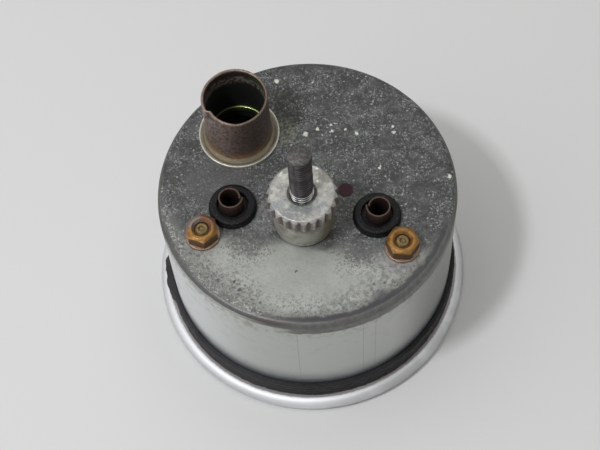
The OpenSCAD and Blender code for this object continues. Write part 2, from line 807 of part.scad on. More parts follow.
// Iron vane that turns between the pole faces
module armature() {
    w = 2.6;
    t = 1.6;
    color("#6e6e6e") translate([pivot[0], pivot[1], coil_z - t / 2]) difference() {
        rotate([0, 0, cold_angle])
            translate([-armature_len / 2, -w / 2, 0]) cube([armature_len, w, t]);
        translate([0, 0, -over])
            cylinder(d = spindle_d + 2 * seat_gap, h = t + 2 * over, $fn = 48);
    }
}

module pointer() {
    color("#e8e4da") translate([pivot[0], pivot[1], pointer_z - pointer_t]) difference() {
        rotate([0, 0, cold_angle]) linear_extrude(pointer_t) polygon([
            [-tail_len, -tail_half_w], [-tail_len, tail_half_w],
            [-tail_len / 2, pointer_half_w], [0, pointer_half_w],
            [pointer_len - pointer_tip_len, pointer_tip_half_w], [pointer_len, 0],
            [pointer_len - pointer_tip_len, -pointer_tip_half_w],
            [0, -pointer_half_w], [-tail_len / 2, -pointer_half_w]
        ]);
        translate([0, 0, -over])
            cylinder(d = journal_d + 2 * seat_gap, h = pointer_t + 2 * over, $fn = 48);
    }
}

module pointer_hub() {
    color("#151515") translate([pivot[0], pivot[1], pointer_z - pointer_t - hub_h]) difference() {
        union() {
            translate([0, 0, hub_chamfer]) cylinder(d = hub_d, h = hub_h - hub_chamfer);
            cylinder(d1 = hub_d - 2 * hub_chamfer, d2 = hub_d, h = hub_chamfer + eps);
        }
        translate([0, 0, hub_floor - seat_gap])
            cylinder(d = journal_d + 2 * seat_gap, h = hub_h, $fn = 48);
    }
}

// Arm with a weight that balances the pointer, on the spindle behind the plate
module balance_arm() {
    lift = 3.2;
    arm = 3.4;
    arm_w = 0.6;
    boss_d = spindle_d + 1.4;
    boss_h = 0.6;
    weight_d = 1.4;
    weight_h = 1.2;
    color("#c2a04c") translate([pivot[0], pivot[1], coil_z + lift]) difference() {
        rotate([0, 0, cold_angle + 180]) {
            cylinder(d = boss_d, h = boss_h, $fn = 48);
            translate([0, -arm_w / 2, 0]) cube([arm, arm_w, boss_h - eps]);
            translate([arm, 0, 0]) cylinder(d = weight_d, h = weight_h, $fn = 32);
        }
        translate([0, 0, -over])
            cylinder(d = spindle_d + 2 * seat_gap, h = boss_h + 2 * over, $fn = 48);
    }
}

module nut_collar() {
    color("#a9a79c") translate([stud_place[0], stud_place[1], collar_z]) difference() {
        rotate_extrude($fn = 96) polygon([
            [0, 0], [collar_d / 2 - collar_edge, 0], [collar_d / 2, collar_edge],
            [collar_d / 2, collar_h], [0, collar_h]
        ]);
        translate([0, 0, -over]) cylinder(d = stud_d + 2 * run_gap, h = collar_h + 2 * over);
    }
}

// Straight-toothed thumb nut, chamfered at both ends and round its bore
module thumb_nut() {
    r = thumb_d / 2;
    root = r - tooth_depth;
    pitch = 360 / thumb_teeth;
    tooth = [[-tooth_foot, root], [-tooth_tip, r], [tooth_tip, r], [tooth_foot, root]];
    outline = [for (i = [0 : thumb_teeth - 1]) for (corner = tooth)
        let (a = (i + corner[0]) * pitch) [corner[1] * cos(a), corner[1] * sin(a)]];
    color("#a7a59a") translate([stud_place[0], stud_place[1], thumb_z]) difference() {
        intersection() {
            linear_extrude(thumb_h) polygon(outline);
            rotate_extrude($fn = 96) polygon([
                [0, 0], [r - thumb_chamfer, 0], [r, thumb_chamfer],
                [r, thumb_h - thumb_chamfer], [r - thumb_chamfer, thumb_h], [0, thumb_h]
            ]);
        }
        translate([0, 0, -over]) cylinder(d = stud_d + 2 * run_gap, h = thumb_h + 2 * over);
        translate([0, 0, thumb_h - thumb_sink])
            cylinder(r1 = stud_d / 2 + run_gap, r2 = stud_d / 2 + run_gap + thumb_sink,
                     h = thumb_sink + eps);
    }
}

can();
bezel();
seal();
glass_gasket();
glass();
inner_ring();
dial();
dial_marks();
dial_screws();
dial_posts();
stop_pins();
movement_plate();
front_bearing();
rear_cock();
cock_screws();
rear_bearing();
yoke();
yoke_rivets();
coil_cores();
coil_bobbins();
coil_windings();
coil_leads();
pillars();
nut_washers();
hex_nuts();
terminal_tubes();
outer_insulators();
inner_insulators();
solder_tags();
lamp_flange();
lamp_tube();
lamp_contact_ring();
clamp_stud();
varnish_dot();
spindle();
armature();
pointer();
pointer_hub();
balance_arm();
nut_collar();
thumb_nut();
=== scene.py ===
"""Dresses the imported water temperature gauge: its meshes, finishes, stage, lights and camera."""

import logging
import math
from collections.abc import Callable, Iterator, Mapping, Sequence
from contextlib import contextmanager
from dataclasses import dataclass, field, replace
from enum import Enum
from itertools import pairwise
from typing import ClassVar

import bpy
from mathutils import Matrix, Vector, noise

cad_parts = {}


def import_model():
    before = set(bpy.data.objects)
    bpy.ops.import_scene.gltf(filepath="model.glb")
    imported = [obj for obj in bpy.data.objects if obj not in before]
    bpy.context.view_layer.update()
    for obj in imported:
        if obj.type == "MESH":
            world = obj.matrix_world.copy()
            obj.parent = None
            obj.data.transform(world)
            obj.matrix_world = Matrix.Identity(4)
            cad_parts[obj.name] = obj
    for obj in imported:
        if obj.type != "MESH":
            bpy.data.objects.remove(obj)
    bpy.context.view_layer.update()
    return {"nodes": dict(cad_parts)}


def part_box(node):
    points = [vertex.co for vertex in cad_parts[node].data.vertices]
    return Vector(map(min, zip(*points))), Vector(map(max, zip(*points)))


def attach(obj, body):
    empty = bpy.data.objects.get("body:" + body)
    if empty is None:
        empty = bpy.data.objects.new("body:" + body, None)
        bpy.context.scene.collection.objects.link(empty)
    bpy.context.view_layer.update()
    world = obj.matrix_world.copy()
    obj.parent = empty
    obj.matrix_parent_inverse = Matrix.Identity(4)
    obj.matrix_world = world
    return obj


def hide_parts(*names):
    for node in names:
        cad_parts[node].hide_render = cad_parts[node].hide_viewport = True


Point = tuple[float, float]

MM = 0.001
FULL_TURN = math.tau
FINE_STEPS = 192
ROUND_STEPS = 96
SMALL_STEPS = 64
MERGE_DISTANCE = 0.002 * MM
SMOOTH_ANGLE = math.radians(32)

# Measures in mm that more than one sub-assembly keeps to
CAN_R = 26.0
BACK_Z = 33.0
BACK_INSIDE_Z = 32.4
FIT = 0.04
AXIS = (0.0, 0.0)
UP = (0.0, 0.0, 1.0)
SIDES = (-1, 1)

log = logging.getLogger("gauge")


# Colours and points

@dataclass(frozen=True)
class Tone:
    """A colour as it looks on a screen, each part from 0 to 255."""

    red: float
    green: float
    blue: float

    def linear(self) -> tuple[float, float, float, float]:
        """Gives the colour as the shaders take it.

        Returns:
            Red, green and blue in linear light, with full opacity.
        """
        parts = []
        for part in (self.red, self.green, self.blue):
            share = part / 255
            parts.append(share / 12.92 if share <= 0.04045 else ((share + 0.055) / 1.055) ** 2.4)
        return parts[0], parts[1], parts[2], 1.0


@dataclass(frozen=True)
class Span:
    """The box of a CAD node at rest, in mm."""

    low: Vector
    high: Vector

    @classmethod
    def of(cls, node: str) -> "Span":
        """The box of one CAD node."""
        low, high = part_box(node)
        return cls(low / MM, high / MM)

    @property
    def middle(self) -> Point:
        """The middle of the box in plan."""
        return (self.low.x + self.high.x) / 2, (self.low.y + self.high.y) / 2

    @property
    def radius(self) -> float:
        """Half the width of the box along X."""
        return (self.high.x - self.low.x) / 2


@dataclass(frozen=True)
class Corner:
    """A corner of an outline: distance from the axis, level and how far it is rounded, in mm."""

    r: float
    z: float
    soft: float = 0.0


def rounded(corners: Sequence[Corner], closed: bool, bends: int = 4) -> list[Point]:
    """Rounds the corners of an outline.

    Args:
        corners: The corners in order.
        closed: Whether the last corner joins the first.
        bends: How many short edges stand for a rounded corner.

    Returns:
        The points of the outline, the first one again at the end of a closed one.
    """
    points: list[Point] = []
    count = len(corners)
    for i, corner in enumerate(corners):
        here = Vector((corner.r, corner.z))
        if corner.soft == 0 or (not closed and i in (0, count - 1)):
            points.append((here.x, here.y))
            continue
        before = corners[i - 1]
        after = corners[(i + 1) % count]
        start = here + (Vector((before.r, before.z)) - here).normalized() * corner.soft
        end = here + (Vector((after.r, after.z)) - here).normalized() * corner.soft
        for k in range(bends + 1):
            t = k / bends
            point = start * (1 - t) ** 2 + here * 2 * t * (1 - t) + end * t ** 2
            points.append((point.x, point.y))
    if closed:
        points.append(points[0])
    return points


def arc(centre: Point, radius: float, start: float, end: float,
        bends: int = 12) -> list[Point]:
    """Points along an arc of an outline.

    Args:
        centre: The arc's centre, as distance from the axis and level, in mm.
        radius: The arc's radius in mm.
        start: The angle of its first point in degrees.
        end: The angle of its last point in degrees.
        bends: How many short edges stand for the arc.

    Returns:
        The points in order.
    """
    angles = [math.radians(start + (end - start) * k / bends) for k in range(bends + 1)]
    return [(centre[0] + radius * math.cos(a), centre[1] + radius * math.sin(a)) for a in angles]


# Modelling by operators

def activate(obj: bpy.types.Object) -> None:
    """Selects one object alone and makes it the active one.

    Args:
        obj: The object.
    """
    bpy.ops.object.select_all(action="DESELECT")
    obj.select_set(True)
    bpy.context.view_layer.objects.active = obj


@contextmanager
def editing(obj: bpy.types.Object) -> Iterator[None]:
    """Keeps an object in edit mode, with all of it selected at the start.

    Args:
        obj: The object to edit.

    Returns:
        The context in which it stays in edit mode.
    """
    activate(obj)
    bpy.ops.object.mode_set(mode="EDIT")
    bpy.ops.mesh.select_mode(type="VERT")
    bpy.ops.mesh.select_all(action="SELECT")
    try:
        yield
    finally:
        bpy.ops.object.mode_set(mode="OBJECT")


def close_up(obj: bpy.types.Object) -> None:
    """Merges the doubles of a mesh and points its faces outwards.

    Args:
        obj: The piece.
    """
    with editing(obj):
        bpy.ops.mesh.remove_doubles(threshold=MERGE_DISTANCE)
        bpy.ops.mesh.normals_make_consistent(inside=False)


def smooth(obj: bpy.types.Object, angle: float = SMOOTH_ANGLE) -> bpy.types.Object:
    """Shades an object smooth, apart from its sharp edges.

    Args:
        obj: The piece.
        angle: The least angle of a sharp edge, in radians.

    Returns:
        The same piece.
    """
    activate(obj)
    bpy.ops.object.shade_smooth_by_angle(angle=angle)
    return obj


def settle(obj: bpy.types.Object) -> bpy.types.Object:
    """Puts an object's place, turn and size into its mesh.

    Args:
        obj: The piece.

    Returns:
        The same piece.
    """
    activate(obj)
    bpy.ops.object.transform_apply(location=True, rotation=True, scale=True)
    return obj


def drawn(name: str, points: Sequence[Vector]) -> bpy.types.Object:
    """Draws a line of edges through some points.

    Args:
        name: The name of the new object.
        points: The points in mm.

    Returns:
        The new object, at the origin.
    """
    bpy.ops.object.select_all(action="DESELECT")
    bpy.ops.mesh.primitive_plane_add(size=MM, location=(0, 0, 0))
    obj = bpy.context.object
    obj.name = name
    with editing(obj):
        bpy.ops.mesh.merge(type="CENTER")
        bpy.ops.transform.translate(value=points[0] * MM)
        for here, there in pairwise(points):
            bpy.ops.mesh.extrude_region_move(TRANSFORM_OT_translate={"value": (there - here) * MM})
    return obj


def turned(name: str, outline: Sequence[Point], middle: Point,
           steps: int = FINE_STEPS, start: float = 0.0, sweep: float = FULL_TURN) -> bpy.types.Object:
    """Turns an outline round an upright axis.

    Args:
        name: The name of the new object.
        outline: Points as distance from the axis and level, in mm.
        middle: Where the axis stands in plan, in mm.
        steps: How many steps the turn has.
        start: The angle of the outline in radians.
        sweep: How far it is turned in radians.

    Returns:
        The new object, at the origin.
    """
    aim = Vector((math.cos(start), math.sin(start), 0))
    base = Vector((middle[0], middle[1], 0))
    obj = drawn(name, [base + aim * r + Vector((0, 0, z)) for r, z in outline])
    with editing(obj):
        bpy.ops.mesh.remove_doubles(threshold=MERGE_DISTANCE)
        bpy.ops.mesh.spin(steps=steps, angle=sweep, center=base * MM, axis=(0, 0, 1))
    close_up(obj)
    return obj


def round_bar(name: str, middle: Point, radius: float, low: float, high: float,
              vertices: int = SMALL_STEPS, turn: float = 0.0) -> bpy.types.Object:
    """Adds an upright bar, for cutting and for nuts.

    Args:
        name: The name of the new object.
        middle: The bar's axis in plan, in mm.
        radius: Its radius in mm, to the corners.
        low: Its lower level in mm.
        high: Its upper level in mm.
        vertices: How many corners it has.
        turn: How far it is turned in radians.

    Returns:
        The new object, at the origin.
    """
    bpy.ops.object.select_all(action="DESELECT")
    bpy.ops.mesh.primitive_cylinder_add(
        vertices=vertices, radius=radius * MM, depth=(high - low) * MM,
        location=(middle[0] * MM, middle[1] * MM, (low + high) / 2 * MM), rotation=(0, 0, turn))
    obj = bpy.context.object
    obj.name = name
    return settle(obj)


def block(name: str, low: Vector, high: Vector) -> bpy.types.Object:
    """Adds a straight block, for cutting.

    Args:
        name: The name of the new object.
        low: Its lowest corner in mm.
        high: Its highest corner in mm.

    Returns:
        The new object, at the origin.
    """
    bpy.ops.object.select_all(action="DESELECT")
    bpy.ops.mesh.primitive_cube_add(size=1, location=(low + high) / 2 * MM, scale=(high - low) * MM)
    obj = bpy.context.object
    obj.name = name
    return settle(obj)


class Cut(Enum):
    """What a boolean keeps of a piece."""

    OUTSIDE = "DIFFERENCE"
    INSIDE = "INTERSECT"


def carve(obj: bpy.types.Object, tool: bpy.types.Object, cut: Cut) -> bpy.types.Object:
    """Cuts a piece with another, which is used up.

    Args:
        obj: The piece to cut.
        tool: The piece that cuts.
        cut: What stays of the first piece.

    Returns:
        The cut piece.
    """
    modifier = obj.modifiers.new("cut", "BOOLEAN")
    modifier.operation = cut.value
    modifier.object = tool
    modifier.solver = "EXACT"
    activate(obj)
    bpy.ops.object.modifier_apply(modifier=modifier.name)
    bpy.data.objects.remove(tool)
    return obj


def ease_edges(obj: bpy.types.Object, width: float, segments: int = 2,
               angle: float = math.radians(38)) -> bpy.types.Object:
    """Bevels the sharp edges of a piece.

    Args:
        obj: The piece.
        width: The bevel's width in mm.
        segments: How many faces stand for the rounding.
        angle: The least angle of an edge that is bevelled, in radians.

    Returns:
        The same piece.
    """
    modifier = obj.modifiers.new("edges", "BEVEL")
    modifier.width = width * MM
    modifier.segments = segments
    modifier.limit_method = "ANGLE"
    modifier.angle_limit = angle
    activate(obj)
    bpy.ops.object.modifier_apply(modifier=modifier.name)
    return obj


def joined(name: str, pieces: Sequence[bpy.types.Object]) -> bpy.types.Object:
    """Joins some objects into one.

    Args:
        name: The name of the joined object.
        pieces: The objects to join.

    Returns:
        The joined object.
    """
    activate(pieces[0])
    for piece in pieces[1:]:
        piece.select_set(True)
    if len(pieces) > 1:
        bpy.ops.object.join()
    obj = bpy.context.object
    obj.name = name
    return obj


def on_both_sides(name: str, piece: bpy.types.Object, spacing: float) -> bpy.types.Object:
    """Copies the piece of the +X side to the other side.

    Args:
        name: The name of the joined pair.
        piece: The piece at +X.
        spacing: How far apart the two stand, in mm.

    Returns:
        The pair as one object.
    """
    activate(piece)
    bpy.ops.object.duplicate(linked=False)
    bpy.ops.transform.translate(value=(-spacing * MM, 0, 0))
    return joined(name, [settle(bpy.context.object), piece])


def reshape(obj: bpy.types.Object, move: Callable[[Vector], Vector]) -> bpy.types.Object:
    """Moves each point of a mesh by a rule.

    Args:
        obj: The piece.
        move: Takes a point in mm and gives its new place in mm.

    Returns:
        The same piece.
    """
    for vertex in obj.data.vertices:
        vertex.co = move(vertex.co / MM) * MM
    obj.data.update()
    return obj


def wander(point: Vector, size: float, seed: float = 0.0) -> float:
    """A smooth random value from about -1 to 1 that changes over a distance in mm."""
    return noise.noise(point / size + Vector((seed, seed * 1.7, seed * 0.3)))


# Shared surface effects

class Effect(Enum):
    """The shared surface effects. Each is a node group that puts out one mask."""

    MOTTLE = "mottle"
    FLECKS = "flecks"
    STREAKS = "streaks"
    ROUND = "round"
    SLOPE = "slope"
    LINE = "line"


class Wiring:
    """Adds and joins the nodes of one node tree."""

    def __init__(self, tree: bpy.types.NodeTree) -> None:
        """Takes the tree that the nodes go into."""
        self.tree = tree

    def feed(self, socket: bpy.types.NodeSocket, value: object) -> None:
        """Joins an input to a socket, or sets it to a value.

        Args:
            socket: The input.
            value: The socket or the value.
        """
        if isinstance(value, bpy.types.NodeSocket):
            self.tree.links.new(value, socket)
        else:
            socket.default_value = value

    def add(self, kind: str, inputs: Mapping[object, object] | None = None,
            **settings: object) -> bpy.types.Node:
        """Adds a node.

        Args:
            kind: The node's type.
            inputs: Values or sockets for its inputs, by name or number.
            **settings: Its other settings.

        Returns:
            The new node.
        """
        node = self.tree.nodes.new(kind)
        for key, value in settings.items():
            setattr(node, key, value)
        for key, value in (inputs or {}).items():
            self.feed(node.inputs[key], value)
        return node

    def math(self, operation: str, first: object, second: object = 0.0) -> bpy.types.NodeSocket:
        """Works out one value from two."""
        return self.add("ShaderNodeMath", {0: first, 1: second}, operation=operation).outputs[0]

    def vector(self, operation: str, first: object, second: object = (0, 0, 0)) -> bpy.types.Node:
        """Works on two vectors and gives the node."""
        return self.add("ShaderNodeVectorMath", {0: first, 1: second}, operation=operation)

    def ranged(self, value: object, low: object, high: object) -> bpy.types.NodeSocket:
        """Turns a value into a soft step.

        Args:
            value: The value.
            low: Where the step is 0.
            high: Where the step is 1.

        Returns:
            The step's socket.
        """
        node = self.add("ShaderNodeMapRange", {"Value": value, "From Min": low, "From Max": high},
                        interpolation_type="SMOOTHSTEP")
        return node.outputs[0]

    def blend(self, share: object, first: object, second: object,
              colour: bool = False) -> bpy.types.NodeSocket:
        """Mixes two values or colours.

        Args:
            share: How much of the second shows.
            first: The first value or colour.
            second: The second value or colour.
            colour: Whether they are colours.

        Returns:
            The mixed socket.
        """
        kind, start, out = ("RGBA", 6, 2) if colour else ("FLOAT", 2, 0)
        node = self.add("ShaderNodeMix", {0: share, start: first, start + 1: second}, data_type=kind)
        return node.outputs[out]

    def speckle(self, vector: object, scale: object, detail: object = 3.0) -> bpy.types.NodeSocket:
        """A noise from 0 to 1."""
        node = self.add("ShaderNodeTexNoise", {"Vector": vector, "Scale": scale, "Detail": detail})
        return node.outputs[0]


class EffectGroups:
    """Builds the node group of each shared effect once."""

    SOCKETS: ClassVar[dict[Effect, tuple[tuple[str, object], ...]]] = {
        Effect.MOTTLE: (("Scale", 1.0), ("Detail", 4.0), ("Seed", 0.0), ("Low", 0.4), ("High", 0.6)),
        Effect.FLECKS: (("Scale", 2.0), ("Size", 0.3), ("Share", 0.5), ("Warp", 0.3), ("Seed", 0.0)),
        Effect.STREAKS: (("Along", (1.0, 1.0, 1.0)), ("Detail", 3.0), ("Low", 0.4), ("High", 0.6)),
        Effect.ROUND: (("Middle", (0.0, 0.0, 0.0)), ("From", 10.0), ("To", 9.0), ("Ragged", 0.0),
                       ("Grain", 0.5)),
        Effect.SLOPE: (("Along", UP), ("From", 0.0), ("To", 1.0), ("Ragged", 0.0),
                       ("Grain", 0.5)),
        Effect.LINE: (("Along", (1.0, 0.0, 0.0)), ("At", 0.0), ("Width", 0.1)),
    }
    made: ClassVar[dict[Effect, bpy.types.NodeTree]] = {}

    @classmethod
    def get(cls, effect: Effect) -> bpy.types.NodeTree:
        """Gives the node group of an effect.

        Args:
            effect: The effect.

        Returns:
            Its node group, made at the first call.
        """
        if effect not in cls.made:
            tree = bpy.data.node_groups.new(effect.value, "ShaderNodeTree")
            tree.interface.new_socket("Vector", in_out="INPUT", socket_type="NodeSocketVector")
            for name, value in cls.SOCKETS[effect]:
                kind = "NodeSocketVector" if isinstance(value, tuple) else "NodeSocketFloat"
                tree.interface.new_socket(name, in_out="INPUT", socket_type=kind).default_value = value
            tree.interface.new_socket("Mask", in_out="OUTPUT", socket_type="NodeSocketFloat")
            wiring = Wiring(tree)
            entry = wiring.add("NodeGroupInput").outputs
            mask = getattr(cls, "_" + effect.value)(wiring, entry)
            wiring.add("NodeGroupOutput", {0: mask})
            cls.made[effect] = tree
        return cls.made[effect]

    @staticmethod
    def _mottle(w: Wiring, entry: bpy.types.NodeOutputs) -> bpy.types.NodeSocket:
        """Cloudy patches."""
        place = w.vector("ADD", entry["Vector"], entry["Seed"]).outputs[0]
        return w.ranged(w.speckle(place, entry["Scale"], entry["Detail"]), entry["Low"], entry["High"])

    @staticmethod
    def _flecks(w: Wiring, entry: bpy.types.NodeOutputs) -> bpy.types.NodeSocket:
        """Small scattered specks of uneven outline.

        Args:
            w: The group's nodes.
            entry: The group's inputs.

        Returns:
            The mask's socket.
        """
        place = w.vector("ADD", entry["Vector"], entry["Seed"]).outputs[0]
        coarse = w.math("MULTIPLY", entry["Scale"], 1.7)
        shake = w.add("ShaderNodeTexNoise", {"Vector": place, "Scale": coarse})
        off = w.vector("SUBTRACT", shake.outputs[1], (0.5, 0.5, 0.5)).outputs[0]
        warp = w.add("ShaderNodeVectorMath", {0: off, "Scale": entry["Warp"]}, operation="SCALE")
        cells = w.add("ShaderNodeTexVoronoi", {
            "Vector": w.vector("ADD", place, warp.outputs[0]).outputs[0], "Scale": entry["Scale"]})
        inside = w.ranged(cells.outputs["Distance"], entry["Size"], w.math("MULTIPLY", entry["Size"], 0.5))
        pick = w.add("ShaderNodeSeparateColor", {0: cells.outputs["Color"]}).outputs[0]
        return w.math("MULTIPLY", inside, w.math("LESS_THAN", pick, entry["Share"]))

    @staticmethod
    def _streaks(w: Wiring, entry: bpy.types.NodeOutputs) -> bpy.types.NodeSocket:
        """Fine lines, long where Along is small."""
        place = w.vector("MULTIPLY", entry["Vector"], entry["Along"]).outputs[0]
        return w.ranged(w.speckle(place, 1.0, entry["Detail"]), entry["Low"], entry["High"])

    @staticmethod
    def _ragged(w: Wiring, entry: bpy.types.NodeOutputs,
                value: bpy.types.NodeSocket) -> bpy.types.NodeSocket:
        """Steps a distance with an uneven edge.

        Args:
            w: The group's nodes.
            entry: The group's inputs.
            value: The distance in mm.

        Returns:
            The mask's socket.
        """
        shake = w.math("SUBTRACT", w.speckle(entry["Vector"], entry["Grain"], 5.0), 0.5)
        uneven = w.math("ADD", value, w.math("MULTIPLY", shake, entry["Ragged"]))
        return w.ranged(uneven, entry["From"], entry["To"])

    @classmethod
    def _round(cls, w: Wiring, entry: bpy.types.NodeOutputs) -> bpy.types.NodeSocket:
        """A step in the distance from an upright axis.

        Args:
            w: The group's nodes.
            entry: The group's inputs.

        Returns:
            The mask's socket.
        """
        off = w.vector("SUBTRACT", entry["Vector"], entry["Middle"]).outputs[0]
        flat = w.vector("MULTIPLY", off, (1, 1, 0)).outputs[0]
        return cls._ragged(w, entry, w.vector("LENGTH", flat).outputs["Value"])

    @classmethod
    def _slope(cls, w: Wiring, entry: bpy.types.NodeOutputs) -> bpy.types.NodeSocket:
        """A step along a direction."""
        along = w.vector("DOT_PRODUCT", entry["Vector"], entry["Along"]).outputs["Value"]
        return cls._ragged(w, entry, along)

    @staticmethod
    def _line(w: Wiring, entry: bpy.types.NodeOutputs) -> bpy.types.NodeSocket:
        """A straight line across a direction.

        Args:
            w: The group's nodes.
            entry: The group's inputs.

        Returns:
            The mask's socket.
        """
        along = w.vector("DOT_PRODUCT", entry["Vector"], entry["Along"]).outputs["Value"]
        off = w.math("ABSOLUTE", w.math("SUBTRACT", along, entry["At"]))
        return w.ranged(off, entry["Width"], w.math("MULTIPLY", entry["Width"], 0.5))


@dataclass(frozen=True)
class Mask:
    """One shared effect with its own values, and whether it is turned over."""

    effect: Effect
    values: Mapping[str, object]
    inverse: bool = False

    def draw(self, wiring: Wiring, place: bpy.types.NodeSocket) -> bpy.types.NodeSocket:
        """Adds the mask to a material.

        Args:
            wiring: The material's nodes.
            place: The place on the object in mm.

        Returns:
            The mask's socket.
        """
        node = wiring.add("ShaderNodeGroup", node_tree=EffectGroups.get(self.effect))
        wiring.feed(node.inputs["Vector"], place)
        for key, value in self.values.items():
            wiring.feed(node.inputs[key], value)
        return wiring.math("SUBTRACT", 1.0, node.outputs[0]) if self.inverse else node.outputs[0]


def mottle(scale: float, low: float, high: float, detail: float = 4.0, seed: float = 0.0) -> Mask:
    """Cloudy patches, `scale` of them in a mm."""
    return Mask(Effect.MOTTLE, {"Scale": scale, "Low": low, "High": high, "Detail": detail, "Seed": seed})


def flecks(scale: float, size: float, share: float, warp: float = 0.3, seed: float = 0.0) -> Mask:
    """Specks on cells of 1 / scale mm, on a share of them."""
    return Mask(Effect.FLECKS, {"Scale": scale, "Size": size, "Share": share, "Warp": warp, "Seed": seed})


def streaks(along: tuple[float, float, float], low: float, high: float, detail: float = 3.0) -> Mask:
    """Lines that run where `along` is small."""
    return Mask(Effect.STREAKS, {"Along": along, "Low": low, "High": high, "Detail": detail})


def within(middle: Point, start: float, end: float, ragged: float = 0.0,
           grain: float = 0.5) -> Mask:
    """A step from 0 at one distance from an axis to 1 at another, in mm."""
    return Mask(Effect.ROUND, {"Middle": (middle[0], middle[1], 0.0), "From": start, "To": end,
                               "Ragged": ragged, "Grain": grain})


def beyond(along: tuple[float, float, float], start: float, end: float, ragged: float = 0.0,
           grain: float = 0.5) -> Mask:
    """A step from 0 at one distance along a direction to 1 at another, in mm."""
    return Mask(Effect.SLOPE, {"Along": along, "From": start, "To": end, "Ragged": ragged, "Grain": grain})


def line(along: tuple[float, float, float], at: float, width: float) -> Mask:
    """A line at one distance along a direction, in mm."""
    return Mask(Effect.LINE, {"Along": along, "At": at, "Width": width})


@dataclass(frozen=True)
class Layer:
    """Something that lies over a finish where all its masks meet."""

    masks: tuple[Mask, ...]
    tone: Tone | None = None
    amount: float = 1.0
    roughness: float | None = None
    metallic: float | None = None


@dataclass(frozen=True)
class Relief:
    """Fine height of a surface, in mm, where all its masks meet."""

    masks: tuple[Mask, ...]
    height: float


@dataclass(frozen=True)
class Finish:
    """A surface: its plain colour and shine, what lies over it, and its fine relief."""

    name: str
    tone: Tone
    roughness: float
    metallic: float = 0.0
    layers: tuple[Layer, ...] = ()
    reliefs: tuple[Relief, ...] = ()
    shader: Mapping[str, float] = field(default_factory=dict)
    made: ClassVar[dict[str, bpy.types.Material]] = {}

    def make(self) -> bpy.types.Material:
        """Builds the material.

        Returns:
            The material, the same one at each call.
        """
        if self.name in self.made:
            return self.made[self.name]
        material = self.made[self.name] = bpy.data.materials.new(self.name)
        material.use_nodes = True
        material.node_tree.nodes.clear()
        wiring = Wiring(material.node_tree)
        metres = wiring.add("ShaderNodeTexCoord").outputs["Object"]
        scaled = wiring.add("ShaderNodeVectorMath", {0: metres, "Scale": 1 / MM}, operation="SCALE")
        place = scaled.outputs[0]
        colour: object = self.tone.linear()
        roughness: object = self.roughness
        metallic: object = self.metallic
        for layer in self.layers:
            share = self._meet(wiring, place, layer.masks, layer.amount)
            if layer.tone:
                colour = wiring.blend(share, colour, layer.tone.linear(), colour=True)
            if layer.roughness is not None:
                roughness = wiring.blend(share, roughness, layer.roughness)
            if layer.metallic is not None:
                metallic = wiring.blend(share, metallic, layer.metallic)
        surface = wiring.add("ShaderNodeBsdfPrincipled", {
            "Base Color": colour, "Roughness": roughness, "Metallic": metallic, **self.shader})
        if self.reliefs:
            height: object = 0.0
            for relief in self.reliefs:
                height = wiring.math("ADD", height, self._meet(wiring, place, relief.masks, relief.height))
            bump = wiring.add("ShaderNodeBump", {"Strength": 1.0, "Distance": MM, "Height": height})
            wiring.feed(surface.inputs["Normal"], bump.outputs[0])
        wiring.add("ShaderNodeOutputMaterial", {"Surface": surface.outputs[0]})
        return material

    @staticmethod
    def _meet(wiring: Wiring, place: bpy.types.NodeSocket, masks: Sequence[Mask],
              amount: float) -> bpy.types.NodeSocket:
        """Multiplies masks with one another and with an amount.

        Args:
            wiring: The material's nodes.
            place: The place on the object in mm.
            masks: The masks.
            amount: What their product is multiplied with.

        Returns:
            The product's socket.
        """
        share: object = amount
        for mask in masks:
            share = wiring.math("MULTIPLY", share, mask.draw(wiring, place))
        return share


# Finishes

LAMP_PLACE = (-12.8, 10.1)
STUD_PLACE = (0.0, -6.3)
ZINC_DARK = Tone(55, 56, 55)
ZINC_LIGHT = Tone(156, 158, 153)
PALE_SPECK = Tone(152, 155, 156)
FLAKE_WHITE = Tone(214, 215, 204)
GRIME = Tone(58, 56, 56)
FLAKES = (
    (-7.2, 21.3, 0.55), (-0.8, 21.4, 0.3), (-1.2, 10.8, 0.55), (3.2, 12.9, 0.35), (3.9, 13.2, 0.4),
    (3.4, 11.7, 0.35), (0.9, 11.9, 0.35), (5.7, 12.0, 0.35), (7.8, 11.6, 0.5), (14.4, 12.2, 0.45),
    (14.1, 13.2, 0.3), (12.3, 4.9, 0.35), (24.4, 3.9, 0.35), (17.7, 17.1, 0.3))
PITS = (
    (-13.4, -18.4, 0.3), (-10.8, -18.5, 0.3), (-9.8, -19.9, 0.4), (-6.0, -22.0, 0.35), (12.6, -17.4, 0.35),
    (14.4, -17.0, 0.4), (14.1, -18.5, 0.25), (12.7, -19.4, 0.25), (4.9, -10.6, 0.3), (-0.6, -15.8, 0.3))
RING_SCRATCHES = ((14.1, 1.4, 0.9), (15.8, 0.5, 0.8))
SIDE_SCRATCHES = ((0.9999, 0.012), (0.9, 0.436), (0.858, 0.513))
BACK_FACE = beyond(UP, 32.6, 32.9)
RIGHT_FRONT = beyond((0.63, -0.777, 0.0), 17.5, 21.0)
FRONT_MIDDLE = beyond((0.25, -0.97, 0.0), 20.5, 24.0)
LEFT_FRONT = beyond((-0.65, -0.76, 0.0), 18.5, 22.5)
FRONT_SIDE = beyond((0.0, -1.0, 0.0), 4.0, 12.0)
OXIDIZED = beyond((0.0, 1.0, 0.0), -12.4, -9.0, 6.5, 0.2)
CLEAN = beyond((0.0, 1.0, 0.0), -10.6, -12.6)


def on_back(layers: Sequence[Layer]) -> tuple[Layer, ...]:
    """The same layers, on the back face alone."""
    return tuple(replace(layer, masks=(BACK_FACE, *layer.masks)) for layer in layers)


